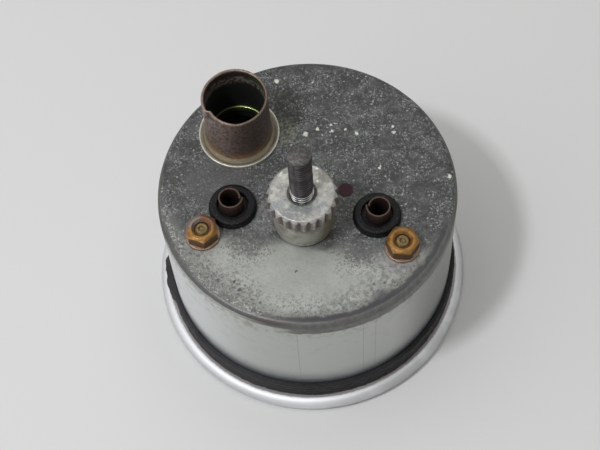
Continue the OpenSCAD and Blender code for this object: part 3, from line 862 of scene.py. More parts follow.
def spots(places: Sequence[tuple[float, float, float]], tone: Tone, roughness: float) -> tuple[Layer, ...]:
    """Small uneven spots, each with its place and radius in mm."""
    return tuple(Layer((within((x, y), size, size * 0.4, 1.2, 1.9),), tone, 0.85, roughness, 0.0)
                 for x, y, size in places)


def simple(name: str, tone: Tone, roughness: float, metallic: float, layer: Layer, grain: Mask,
           height: float) -> Finish:
    """A finish with one layer over it and one fine grain, in mm."""
    return Finish(name, tone, roughness, metallic, (layer,), (Relief((grain,), height),))


# The can's side: painted light from left to right with painted shade at the right, painted shade and
# reflection of the seal at its foot, stains under the rim, scratches, rim
WALL_SHADE_AND_WEAR = (
    # Painted light: the side keeps its plain pale tone on the left and is painted darker from x = -21 mm
    # towards the right
    Layer((beyond((1.0, 0.0, 0.0), -21.0, -5.0, 3.0, 0.12),), Tone(176, 178, 174), 0.85, 0.36),
    # Painted shade: darker still on the right side, a little to the front
    Layer((beyond((0.94, -0.34, 0.0), 22.0, 26.0),), Tone(128, 128, 125), 0.85, 0.36),
    # Painted shade and painted reflection of the black seal: bluish darkening low on the side, just above
    # the seal
    Layer((beyond(UP, 13.6, 7.0, 2.0, 0.2),), Tone(104, 111, 119), 0.75, 0.32),
    Layer((beyond(UP, 26.5, 31.0, 3.0, 0.3), FRONT_SIDE, mottle(0.9, 0.44, 0.62, 5.0, 3.0)),
          Tone(128, 124, 114), 0.6, 0.45),
    Layer((mottle(0.5, 0.5, 0.74, 5.0, 8.0), beyond(UP, 12.0, 26.0)), Tone(164, 163, 156), 0.4, 0.4),
    *(Layer((line((c, s, 0.0), 0.0, 0.07), beyond(UP, 30.2, 29.2)),
            Tone(128, 132, 128), 0.6, 0.4) for c, s in SIDE_SCRATCHES),
    Layer((beyond(UP, 31.3, 32.0),), ZINC_LIGHT, 1.0, 0.46, 0.3),
    Layer((beyond(UP, 31.5, 31.9), OXIDIZED), Tone(70, 70, 62), 0.9, 0.5, 0.3),
)
# The back face: clean zinc, oxide, grime round the fittings, a painted shadow of the lamp tube, specks,
# flakes, pits
BACK_WEAR_AND_SHADOW = (
    Layer((mottle(0.3, 0.36, 0.68, 3.0),), Tone(142, 145, 139), 0.6, 0.42),
    Layer((mottle(2.2, 0.45, 0.7, 5.0, 5.0),), Tone(138, 139, 135), 0.45),
    Layer((within((16.3, -10.9), 4.5, 4.1),), Tone(146, 144, 145), 0.6, 0.4),
    Layer((CLEAN, within(AXIS, 14.0, 23.5), flecks(3.4, 0.46, 0.14, 0.6, 2.0)),
          Tone(84, 84, 82), 0.6, 0.6, 0.2),
    Layer((OXIDIZED,), ZINC_DARK, 0.97, 0.56, 0.35),
    Layer((within((-9.2, -10.2), 4.8, 2.0, 4.0, 0.4), mottle(2.0, 0.3, 0.52, 4.0, 1.0)),
          Tone(84, 85, 82), 0.85, 0.6, 0.2),
    Layer((within((-9.4, -10.6), 6.8, 3.6, 5.0, 0.4), flecks(2.6, 0.62, 0.55, 0.9, 1.0)),
          Tone(66, 67, 64), 0.75, 0.6, 0.2),
    Layer((within((10.0, -10.4), 5.0, 2.2, 4.0, 0.35), mottle(2.0, 0.3, 0.52, 4.0, 3.0)),
          Tone(88, 89, 88), 0.85, 0.6, 0.2),
    Layer((within((10.0, -10.8), 7.0, 3.8, 5.0, 0.4), flecks(2.6, 0.62, 0.5, 0.9, 3.0)),
          Tone(70, 71, 70), 0.75, 0.6, 0.2),
    Layer((within((-10.6, -20.8), 6.4, 2.4, 4.0, 0.4), flecks(2.3, 0.66, 0.5, 0.9, 6.0)),
          Tone(76, 76, 72), 0.75, 0.6, 0.2),
    Layer((within((-6.3, -5.6), 4.4, 1.4, 3.0, 0.35), mottle(1.6, 0.34, 0.56, 5.0, 2.0)),
          Tone(124, 122, 121), 0.6, 0.5, 0.3),
    Layer((LEFT_FRONT, within(AXIS, 18.5, 23.5, 3.0, 0.3)), Tone(130, 130, 128), 0.8),
    Layer((LEFT_FRONT, within(AXIS, 17.5, 22.5, 5.0, 0.4), flecks(2.4, 0.66, 0.5, 0.9, 4.0)),
          Tone(80, 80, 78), 0.75, 0.5, 0.4),
    Layer((OXIDIZED, mottle(0.42, 0.42, 0.68, 5.0, 9.0)), Tone(88, 90, 89), 0.6, 0.55),
    Layer((OXIDIZED, mottle(0.7, 0.48, 0.64, 5.0, 2.0)), Tone(48, 49, 48), 0.6, 0.6),
    # Painted shadow: a mottled dark patch to the right of the lamp tube, where its shadow falls
    Layer((within((-4.4, 16.0), 5.6, 2.2, 3.6, 0.5), mottle(1.4, 0.26, 0.48, 5.0, 6.0)),
          Tone(45, 45, 41), 0.85, 0.7, 0.2),
    Layer((within((-5.0, 11.0), 3.6, 1.4, 3.0, 0.6), mottle(1.8, 0.44, 0.58, 3.0, 1.0)),
          Tone(122, 124, 104), 0.7, 0.6, 0.2),
    Layer((within((6.4, 8.8), 2.2, 0.9, 1.8, 0.6),), Tone(48, 48, 50), 0.75, 0.5, 0.3),
    Layer((within((8.8, 9.9), 1.9, 0.8, 1.8, 0.6),), Tone(50, 50, 52), 0.7, 0.5, 0.3),
    Layer((OXIDIZED, mottle(1.5, 0.52, 0.68, 4.0, 7.0)), Tone(96, 98, 98), 0.55, 0.6),
    Layer((OXIDIZED, mottle(3.2, 0.52, 0.7, 3.0, 5.0), mottle(0.24, 0.36, 0.58, 3.0)),
          PALE_SPECK, 0.35, 0.65, 0.1),
    Layer((OXIDIZED, flecks(3.0, 0.56, 0.5, 0.7, 1.0), mottle(0.3, 0.38, 0.58, 5.0, 4.0)),
          PALE_SPECK, 0.55, 0.65, 0.1),
    Layer((OXIDIZED, flecks(2.2, 0.46, 0.3, 0.7, 7.0), mottle(0.36, 0.44, 0.58, 5.0, 1.0)),
          Tone(168, 171, 172), 0.6, 0.65, 0.1),
    Layer((OXIDIZED, flecks(1.3, 0.3, 0.12, 0.6, 9.0)), Tone(178, 181, 181), 0.6, 0.7, 0.0),
    Layer((within((-16.0, 0.6), 7.0, 3.6, 4.0, 0.3),), Tone(86, 84, 86), 0.55, 0.5, 0.4),
    Layer((within(LAMP_PLACE, 10.6, 8.4, 2.0, 0.4), beyond((0.2, -1.0, 0.0), -6.0, -3.0)),
          Tone(86, 84, 86), 0.5, 0.5, 0.4),
    *spots(FLAKES, FLAKE_WHITE, 0.75),
    *spots(PITS, GRIME, 0.6),
    *(Layer((within((x, y), r - 0.18, r), within((x, y), r + 0.24, r + 0.06),
             mottle(0.5, 0.47, 0.53, 1.0, x)), Tone(140, 142, 142), 0.5, 0.4) for x, y, r in RING_SCRATCHES),
    Layer((FRONT_SIDE, within(AXIS, 22.2, 25.0, 1.6, 0.35)), Tone(101, 101, 98), 0.8, 0.5, 0.4),
    Layer((FRONT_SIDE, within(AXIS, 18.4, 24.0, 5.0, 0.4), flecks(2.4, 0.66, 0.5, 0.9, 11.0)),
          Tone(76, 75, 74), 0.75, 0.55, 0.3),
    Layer((within((14.6, -20.6), 2.9, 1.2, 2.4, 0.6),), Tone(62, 61, 68), 0.8, 0.5, 0.3),
    Layer((LEFT_FRONT, within(AXIS, 22.9, 24.2, 1.6, 0.8), flecks(2.8, 0.6, 0.44, 0.9, 8.0)),
          Tone(184, 185, 182), 0.65, 0.34, 0.7),
)
# The front of the rim, where the plating is rubbed dark
RIM_WEAR = (
    Layer((beyond(UP, 32.3, 32.5, 0.3, 0.8), FRONT_SIDE, within(AXIS, 24.8, 25.1, 0.5, 0.6)),
          Tone(74, 72, 75), 0.85, 0.42, 0.6),
    Layer((beyond(UP, 31.6, 31.95), FRONT_MIDDLE, within(AXIS, 24.9, 25.2, 0.5, 0.6)),
          Tone(86, 81, 80), 0.85, 0.42, 0.6),
    Layer((BACK_FACE, FRONT_MIDDLE, within(AXIS, 24.0, 24.6, 1.0, 0.6), within(AXIS, 25.2, 24.8)),
          Tone(56, 53, 54), 0.8, 0.45, 0.4),
    Layer((RIGHT_FRONT, beyond(UP, 30.0, 30.3, 1.2, 0.4), within(AXIS, 25.0, 25.3)),
          Tone(104, 104, 103), 0.92, 0.44, 0.5),
    Layer((RIGHT_FRONT, beyond(UP, 30.0, 30.3, 1.2, 0.4), mottle(1.1, 0.4, 0.64, 5.0)),
          Tone(84, 83, 84), 0.5),
    Layer((RIGHT_FRONT, beyond(UP, 29.8, 30.1, 1.2, 0.4), beyond(UP, 30.6, 30.2, 1.2, 0.4)),
          Tone(98, 92, 84), 0.5, 0.5, 0.4),
    Layer((RIGHT_FRONT, within(AXIS, 23.9, 24.6, 1.4, 0.6), within(AXIS, 25.3, 24.9, 0.5, 0.6)),
          Tone(56, 54, 58), 0.85, 0.5, 0.4),
)
CAN_ZINC = Finish(
    "zinc_case", Tone(212, 214, 215), 0.34, 0.6, layers=(*WALL_SHADE_AND_WEAR, *on_back(BACK_WEAR_AND_SHADOW), *RIM_WEAR),
    reliefs=(
        Relief((mottle(0.1, 0.2, 0.8, 2.0),), 0.03),
        Relief((BACK_FACE, mottle(0.9, 0.3, 0.7, seed=3.0)), 0.014),
        Relief((BACK_FACE, OXIDIZED, mottle(3.8, 0.4, 0.65, 2.0)), 0.012),
    ))

CHROME = Finish(
    "bezel_chrome_plate", Tone(227, 228, 232), 0.6, 1.0,
    layers=(
        Layer((within(AXIS, 27.45, 27.3), beyond(UP, 2.5, 2.8)), None, 1.0, 0.12),
        # Painted shade: the chrome is darker towards the right front, and a little darker towards the left
        # front
        Layer((beyond((0.9, -0.3, 0.0), 8.0, 24.0),), Tone(182, 183, 185), 0.9, 0.5),
        Layer((beyond((-0.85, -0.53, 0.0), 12.0, 24.0),), Tone(204, 205, 208), 0.9),
        Layer((mottle(0.25, 0.45, 0.7),), Tone(219, 220, 224), 0.5),
        Layer((flecks(1.8, 0.14, 0.1, 0.3),), Tone(140, 134, 126), 0.8, 0.5, 0.6),
        Layer((within(AXIS, 27.5, 27.3, 0.4, 1.4), beyond(UP, 2.6, 2.9)), Tone(104, 94, 86), 0.6, 0.5, 0.3),
    ),
    reliefs=(Relief((mottle(0.3, 0.2, 0.8),), 0.004),))

SEAL_RUBBER = Finish(
    "seal_rubber", Tone(25, 24, 27), 0.7, 0.0,
    layers=(
        # Painted light: the rubber is lighter towards the left front, where the light comes from
        Layer((beyond((-0.9, -0.43, 0.0), 8.0, 22.0),), Tone(50, 48, 51), 0.85, 0.75),
        Layer((mottle(1.1, 0.45, 0.7),), Tone(40, 37, 39), 0.5, 0.8),
        Layer((mottle(0.35, 0.5, 0.75, seed=5.0),), Tone(20, 19, 21), 0.7, 0.6),
        Layer((beyond(UP, 3.5, 3.2, 0.3, 1.5), mottle(2.6, 0.52, 0.62)), Tone(128, 114, 98), 0.6, 0.9),
        Layer((flecks(1.6, 0.22, 0.1, 0.4),), Tone(84, 80, 76), 0.5, 0.9),
    ),
    reliefs=(Relief((mottle(2.4, 0.3, 0.7),), 0.04),),
    shader={"Specular IOR Level": 0.35})

GASKET_RUBBER = simple("gasket_rubber", Tone(34, 34, 35), 0.7, 0.0,
                       Layer((mottle(1.4, 0.45, 0.7),), Tone(50, 49, 48), 0.6, 0.8),
                       mottle(3.0, 0.3, 0.7), 0.02)

CLEAR_GLASS = Finish(
    "clear_glass", Tone(250, 252, 252), 0.02, 0.0,
    layers=(
        Layer((mottle(0.12, 0.55, 0.8),), None, 0.1, 0.22),
        Layer((streaks((0.7, 6.0, 1.0), 0.66, 0.72),), None, 0.16, 0.35),
    ),
    shader={"Transmission Weight": 1.0, "IOR": 1.5})

DIAL_BLACK = Finish(
    "dial_black", Tone(30, 30, 31), 0.55,
    layers=(
        Layer((mottle(0.14, 0.45, 0.75),), Tone(38, 37, 36), 0.6, 0.62),
        Layer((flecks(1.3, 0.14, 0.1, 0.3),), Tone(84, 82, 78), 0.5, 0.8),
    ),
    reliefs=(Relief((mottle(5.0, 0.3, 0.7),), 0.008),))

PRINT_WHITE = simple("print_white", Tone(222, 219, 205), 0.6, 0.0,
                     Layer((mottle(1.4, 0.5, 0.75),), Tone(202, 196, 178), 0.6, 0.7),
                     mottle(6.0, 0.3, 0.7), 0.006)

PRINT_RED = simple("print_red", Tone(178, 42, 34), 0.55, 0.0,
                   Layer((mottle(1.4, 0.5, 0.75),), Tone(150, 38, 30), 0.6, 0.65),
                   mottle(6.0, 0.3, 0.7), 0.006)

BRIGHT_STEEL = Finish(
    "bright_steel", Tone(176, 176, 176), 0.28, 1.0,
    layers=(
        Layer((mottle(1.2, 0.45, 0.7),), Tone(150, 149, 146), 0.6, 0.4),
        Layer((flecks(3.0, 0.22, 0.16, 0.3),), Tone(110, 98, 84), 0.6, 0.6, 0.4),
    ),
    reliefs=(Relief((streaks((7.0, 1.0, 7.0), 0.4, 0.6),), 0.006),))

BRASS = Finish(
    "aged_brass", Tone(172, 132, 66), 0.34, 0.9,
    layers=(
        Layer((mottle(0.9, 0.42, 0.68),), Tone(142, 98, 50), 0.7, 0.45),
        Layer((flecks(2.4, 0.24, 0.18, 0.3),), Tone(92, 66, 40), 0.7, 0.6, 0.5),
    ),
    reliefs=(Relief((mottle(3.5, 0.3, 0.7),), 0.01),))

NUT_BRASS = Finish(
    "nut_brass", Tone(140, 102, 54), 0.42, 0.7,
    layers=(
        Layer((mottle(1.1, 0.4, 0.7),), Tone(98, 73, 42), 0.75, 0.46),
        Layer((beyond(UP, 35.4, 34.9, 0.7, 0.9),), Tone(88, 64, 50), 0.8, 0.42, 0.7),
        Layer((beyond(UP, 34.1, 33.5, 0.4, 1.2),), Tone(54, 38, 30), 0.8, 0.6, 0.5),
        Layer((within((-19.0, -8.5), 2.3, 1.5, 0.9, 1.2), beyond(UP, 34.4, 34.9)),
              Tone(124, 114, 110), 0.9, 0.4, 0.8),
        Layer((within((-16.0, -8.6), 1.8, 1.2, 0.9, 1.2), beyond(UP, 34.4, 34.9)),
              Tone(112, 78, 68), 0.7, 0.4, 0.8),
        Layer((flecks(3.2, 0.22, 0.2, 0.4),), Tone(70, 50, 34), 0.7, 0.6, 0.4),
    ),
    reliefs=(Relief((mottle(3.0, 0.3, 0.7),), 0.02),))

PILLAR_BRASS = Finish(
    "pillar_brass", Tone(116, 97, 62), 0.45, 0.7,
    layers=(
        Layer((mottle(1.4, 0.42, 0.66),), Tone(92, 76, 54), 0.75, 0.5),
        Layer((mottle(3.6, 0.5, 0.62, seed=3.0), beyond(UP, 34.5, 35.0)), Tone(132, 114, 84), 0.6, 0.4),
    ),
    reliefs=(Relief((mottle(3.5, 0.3, 0.7),), 0.03),))

WASHER_METAL = Finish(
    "washer_plate", Tone(142, 118, 102), 0.42, 0.7,
    layers=(
        Layer((mottle(1.0, 0.4, 0.68),), Tone(112, 86, 72), 0.7, 0.5),
        Layer((flecks(2.2, 0.24, 0.2, 0.4),), Tone(168, 154, 140), 0.6, 0.4),
    ),
    reliefs=(Relief((mottle(3.0, 0.3, 0.7),), 0.015),))

LAMP_INSIDE = within(LAMP_PLACE, 5.4, 5.3)

TUBE_BRONZE = Finish(
    "patinated_bronze_with_painted_light", Tone(146, 126, 116), 0.42, 0.65,
    layers=(
        Layer((mottle(0.42, 0.42, 0.64, 5.0),), Tone(132, 118, 120), 0.8, 0.46),
        # Painted shade: darker on the right side of the tube
        Layer((beyond((0.95, -0.3, 0.0), -15.4, -10.5, 2.0, 0.3),), Tone(72, 58, 54), 0.75, 0.46),
        Layer((mottle(1.9, 0.42, 0.62, 5.0, 7.0),), Tone(76, 62, 55), 0.75, 0.5),
        Layer((mottle(4.5, 0.54, 0.66, 2.0, 3.0),), Tone(148, 138, 132), 0.4, 0.4),
        Layer((beyond(UP, 37.0, 34.8, 1.6, 0.5),), Tone(126, 104, 82), 0.75, 0.38, 0.8),
        # Painted highlight: a bright copper band low on the flared foot, on its left front side
        Layer((beyond(UP, 35.7, 34.8, 0.6, 0.8), beyond((-0.8, -0.6, 0.0), 2.0, 5.0, 3.0, 0.4),
               mottle(0.6, 0.36, 0.56, seed=2.0)), Tone(196, 152, 116), 0.8, 0.28, 1.0),
        Layer((beyond(UP, 34.7, 34.3, 0.3, 0.8),), Tone(186, 180, 164), 0.9, 0.36, 0.8),
        Layer((within(LAMP_PLACE, 5.62, 5.35), beyond(UP, 45.0, 45.25)), Tone(120, 104, 92), 0.8, 0.36, 0.8),
        Layer((LAMP_INSIDE, beyond(UP, 45.15, 44.8)), Tone(48, 38, 34), 0.95, 0.5, 0.3),
        Layer((LAMP_INSIDE, beyond((0.75, 0.66, 0.0), 1.2, 3.0, 1.6, 0.5),
               beyond(UP, 42.6, 43.2, 1.6, 0.6), beyond(UP, 45.0, 44.5)), Tone(44, 80, 52), 0.9, 0.5, 0.2),
        Layer((LAMP_INSIDE, beyond((0.5, 0.87, 0.0), -3.0, 1.0, 3.0, 0.4),
               beyond(UP, 44.0, 43.2, 2.6, 0.5), beyond(UP, 41.0, 41.8, 2.6, 0.5),
               mottle(2.2, 0.4, 0.6, 5.0)), Tone(132, 120, 116), 0.75, 0.8, 0.0),
        # Painted shade: the inside of the tube is near black below about 41 to 42 mm
        Layer((LAMP_INSIDE, beyond(UP, 42.2, 41.2, 2.0, 0.6)), Tone(10, 9, 9), 0.97, 0.75, 0.0),
        Layer((flecks(2.4, 0.2, 0.12, 0.4),), Tone(52, 40, 36), 0.6, 0.6, 0.3),
    ),
    reliefs=(Relief((mottle(2.6, 0.3, 0.7),), 0.02), Relief((mottle(0.5, 0.3, 0.7),), 0.04)))

FLANGE_PLATE = Finish(
    "flange_plate", Tone(212, 212, 205), 0.34, 0.7,
    layers=(
        Layer((mottle(0.7, 0.45, 0.72),), Tone(178, 175, 162), 0.7, 0.4),
        Layer((mottle(2.6, 0.58, 0.7, seed=2.0),), Tone(130, 124, 110), 0.5, 0.45),
        Layer((within(LAMP_PLACE, 7.3, 6.7, 0.5, 0.5),), Tone(138, 132, 118), 0.75, 0.42),
        Layer((within(LAMP_PLACE, 6.5, 6.36, 0.1, 2.0),), Tone(96, 86, 70), 0.7, 0.5, 0.4),
        # Painted shadow: a dark line along the foot of the ring, where it meets the can
        Layer((beyond(UP, 33.2, 33.05, 0.1, 1.0),), Tone(70, 64, 56), 0.7, 0.5),
    ),
    reliefs=(Relief((mottle(2.0, 0.3, 0.7),), 0.01),))

CONTACT_BRASS = Finish(
    "contact_brass", Tone(150, 172, 110), 0.3, 0.9,
    layers=(
        Layer((mottle(0.5, 0.42, 0.66),), Tone(104, 112, 62), 0.7, 0.4),
        # Painted shade: the ring is darkened except on its right back side, where its glint shows
        Layer((beyond((0.9, 0.44, 0.0), -3.5, -7.5, 2.0, 0.4),), Tone(62, 52, 28), 0.9, 0.5, 0.6),
    ),
    reliefs=(Relief((mottle(2.0, 0.3, 0.7),), 0.01),))

TERMINAL_COPPER = Finish(
    "terminal_copper", Tone(86, 66, 57), 0.46, 0.75,
    layers=(
        Layer((mottle(0.9, 0.4, 0.66),), Tone(68, 50, 44), 0.75, 0.55),
        Layer((beyond(UP, 36.0, 35.2, 0.8, 0.8),), Tone(62, 50, 48), 0.6, 0.55),
        Layer((beyond(UP, 34.2, 33.2, 0.8, 0.8),), Tone(30, 22, 20), 0.85, 0.6, 0.4),
        Layer((beyond(UP, 36.62, 36.72, 0.1, 1.5),), Tone(78, 64, 57), 0.8, 0.5),
        Layer((flecks(2.6, 0.24, 0.2, 0.4),), Tone(64, 44, 36), 0.7, 0.6, 0.5),
    ),
    reliefs=(Relief((mottle(3.0, 0.3, 0.7),), 0.015),))

BUSH_BLACK = Finish(
    "bush_black", Tone(9, 9, 13), 0.46,
    layers=(
        Layer((mottle(1.2, 0.46, 0.72, 5.0),), Tone(12, 12, 15), 0.6, 0.6),
        Layer((flecks(2.4, 0.36, 0.24, 0.6),), Tone(80, 80, 86), 0.4, 0.8),
        Layer((mottle(0.4, 0.55, 0.75, seed=3.0),), Tone(28, 23, 22), 0.4, 0.75),
    ),
    reliefs=(Relief((mottle(4.0, 0.3, 0.7),), 0.03),),
    shader={"Specular IOR Level": 0.2})

HUB_BLACK = simple("hub_black", Tone(28, 28, 29), 0.35, 0.0,
                   Layer((mottle(0.8, 0.45, 0.7),), Tone(36, 36, 36), 0.6, 0.45),
                   mottle(4.0, 0.3, 0.7), 0.006)

FIBRE_BROWN = simple("fibre_brown", Tone(122, 92, 60), 0.8, 0.0,
                     Layer((streaks((0.6, 5.0, 5.0), 0.4, 0.62),), Tone(96, 70, 44), 0.7, 0.85),
                     streaks((0.8, 6.0, 6.0), 0.3, 0.7), 0.03)

BOBBIN_RESIN = simple("bobbin_resin", Tone(106, 52, 32), 0.45, 0.0,
                      Layer((mottle(0.8, 0.42, 0.68),), Tone(84, 40, 26), 0.7, 0.55),
                      mottle(3.0, 0.3, 0.7), 0.01)

COPPER_WIRE = simple("copper_wire", Tone(178, 96, 52), 0.3, 0.8,
                     Layer((streaks((5.5, 5.5, 0.2), 0.42, 0.6),), Tone(116, 56, 30), 0.7, 0.4),
                     streaks((5.5, 5.5, 0.2), 0.3, 0.7), 0.06)

TINNED_BRASS = simple("tinned_brass", Tone(184, 180, 164), 0.36, 0.9,
                      Layer((mottle(1.0, 0.45, 0.7),), Tone(150, 140, 112), 0.6, 0.45),
                      mottle(3.0, 0.3, 0.7), 0.012)

PLATE_METAL = Finish(
    "plate_metal", Tone(176, 175, 170), 0.4, 0.9,
    layers=(
        Layer((streaks((0.4, 6.0, 1.0), 0.4, 0.65),), Tone(150, 149, 144), 0.6, 0.46),
        Layer((mottle(0.3, 0.55, 0.75),), Tone(128, 124, 114), 0.6, 0.55),
    ),
    reliefs=(Relief((streaks((0.4, 6.0, 1.0), 0.3, 0.7),), 0.006),))

SOFT_IRON = simple("soft_iron", Tone(104, 104, 106), 0.5, 0.9,
                   Layer((mottle(0.9, 0.45, 0.7),), Tone(78, 70, 64), 0.7, 0.62, 0.6),
                   mottle(3.0, 0.3, 0.7), 0.02)

STUD_STEEL = Finish(
    "stud_steel", Tone(53, 50, 53), 0.44, 0.7,
    layers=(
        Layer((mottle(0.8, 0.42, 0.7),), Tone(56, 52, 53), 0.7, 0.52),
        Layer((within(STUD_PLACE, 1.78, 1.66), beyond(UP, 32.8, 33.2)), Tone(36, 33, 34), 0.85, 0.6, 0.6),
        Layer((within(STUD_PLACE, 1.86, 1.99), streaks((0.3, 0.3, 0.6), 0.4, 0.6)),
              Tone(126, 121, 122), 0.75, 0.36, 0.9),
        Layer((within(STUD_PLACE, 1.8, 1.97), beyond(UP, 45.4, 44.4, 0.8, 0.8)),
              Tone(226, 226, 228), 0.95, 0.24, 1.0),
        Layer((beyond(UP, 55.5, 55.75),), Tone(70, 68, 67), 0.9, 0.55, 0.4),
        Layer((beyond(UP, 55.5, 55.75), mottle(2.0, 0.45, 0.6)), Tone(104, 101, 99), 0.6, 0.5),
    ),
    reliefs=(Relief((mottle(4.0, 0.3, 0.7),), 0.015),))

NUT_PLATE = Finish(
    "thumb_nut_plate", Tone(166, 165, 162), 0.4, 0.55,
    layers=(
        Layer((mottle(0.5, 0.4, 0.66, 5.0),), Tone(136, 135, 129), 0.8, 0.5),
        Layer((mottle(0.2, 0.46, 0.56, 2.0, 2.0), beyond((0.3, -1.0, 0.0), 5.0, 8.5, 2.0)),
              Tone(136, 139, 148), 0.6, 0.4),
        Layer((mottle(3.0, 0.5, 0.64, 3.0, 6.0),), Tone(120, 118, 116), 0.5, 0.5),
        Layer((mottle(0.7, 0.48, 0.66, seed=4.0),), Tone(186, 187, 178), 0.75, 0.35),
        # Painted highlights: bright soft glints on the top face
        Layer((mottle(0.9, 0.62, 0.72, 2.0, 3.0), beyond(UP, 43.1, 43.25)),
              Tone(216, 217, 212), 0.7, 0.28, 0.9),
        Layer((beyond(UP, 42.9, 42.6, 0.2, 0.8),), Tone(132, 118, 116), 0.85, 0.42, 0.7),
        Layer((within(STUD_PLACE, 5.78, 5.5, 0.1, 1.0), within(STUD_PLACE, 5.1, 5.3),
               beyond(UP, 43.0, 42.7)), Tone(92, 76, 76), 0.8, 0.55, 0.4),
        Layer((within(STUD_PLACE, 5.84, 5.94), mottle(1.1, 0.36, 0.56, seed=1.0)),
              Tone(190, 184, 180), 0.75, 0.3, 0.9),
        Layer((within(STUD_PLACE, 2.9, 2.2, 0.5, 0.8), beyond(UP, 43.1, 43.25)),
              Tone(112, 110, 106), 0.6, 0.5),
    ),
    reliefs=(Relief((mottle(2.2, 0.3, 0.7),), 0.02), Relief((mottle(0.6, 0.3, 0.7),), 0.04)))

COLLAR_PLATE = Finish(
    "collar_plate", Tone(176, 175, 166), 0.4, 0.6,
    layers=(
        Layer((mottle(0.6, 0.4, 0.68),), Tone(132, 128, 116), 0.7, 0.5),
        Layer((beyond((1.0, 0.2, 0.0), 0.0, 3.5, 2.0, 0.4),), Tone(128, 112, 74), 0.75, 0.5),
        # Painted shadow: the top of the collar is dark under the nut's teeth
        Layer((beyond(UP, 38.4, 39.8, 1.0, 0.5),), Tone(60, 54, 50), 0.85, 0.6, 0.3),
        Layer((beyond(UP, 33.7, 33.2, 0.4, 0.8),), Tone(76, 68, 56), 0.75, 0.6, 0.4),
        Layer((flecks(1.8, 0.24, 0.2, 0.5),), Tone(104, 92, 70), 0.6, 0.6),
    ),
    reliefs=(Relief((mottle(2.2, 0.3, 0.7),), 0.02),))

VARNISH_RED = Finish(
    "seal_varnish", Tone(47, 14, 30), 0.6,
    layers=(
        Layer((mottle(1.0, 0.42, 0.68),), Tone(40, 14, 26), 0.7, 0.55),
        Layer((within((6.7, 0.1), 1.05, 1.32, 0.2, 1.2),), Tone(96, 62, 70), 0.6, 0.5),
    ),
    reliefs=(Relief((mottle(2.0, 0.3, 0.7),), 0.03),),
    shader={"Specular IOR Level": 0.3})

POINTER_WHITE = simple("pointer_white", Tone(228, 225, 212), 0.5, 0.0,
                       Layer((mottle(1.2, 0.5, 0.75),), Tone(206, 200, 182), 0.5, 0.6),
                       mottle(5.0, 0.3, 0.7), 0.006)


def dress(obj: bpy.types.Object, finish: Finish) -> bpy.types.Object:
    """Gives a piece its finish in place of any other.

    Args:
        obj: The piece.
        finish: Its finish.

    Returns:
        The same piece.
    """
    obj.data.materials.clear()
    obj.data.materials.append(finish.make())
    return obj


def place(obj: bpy.types.Object, finish: Finish, body: str, slot: str, *nodes: str) -> bpy.types.Object:
    """Finishes a piece, puts it on its body and lets it stand for CAD nodes.

    Args:
        obj: The piece.
        finish: Its finish.
        body: The body that it rides on.
        slot: Not used.
        *nodes: The CAD nodes that it replaces.

    Returns:
        The same piece.
    """
    dress(obj, finish)
    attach(obj, body)
    if nodes:
        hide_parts(*nodes)
    log.info("%s: %d faces on %s", obj.name, len(obj.data.polygons), body)
    return obj


# Sub-assemblies

class Assembly:
    """A group of pieces that are built, finished and put on their bodies together."""

    def build(self) -> None:
        """Builds and dresses the pieces."""
        raise NotImplementedError


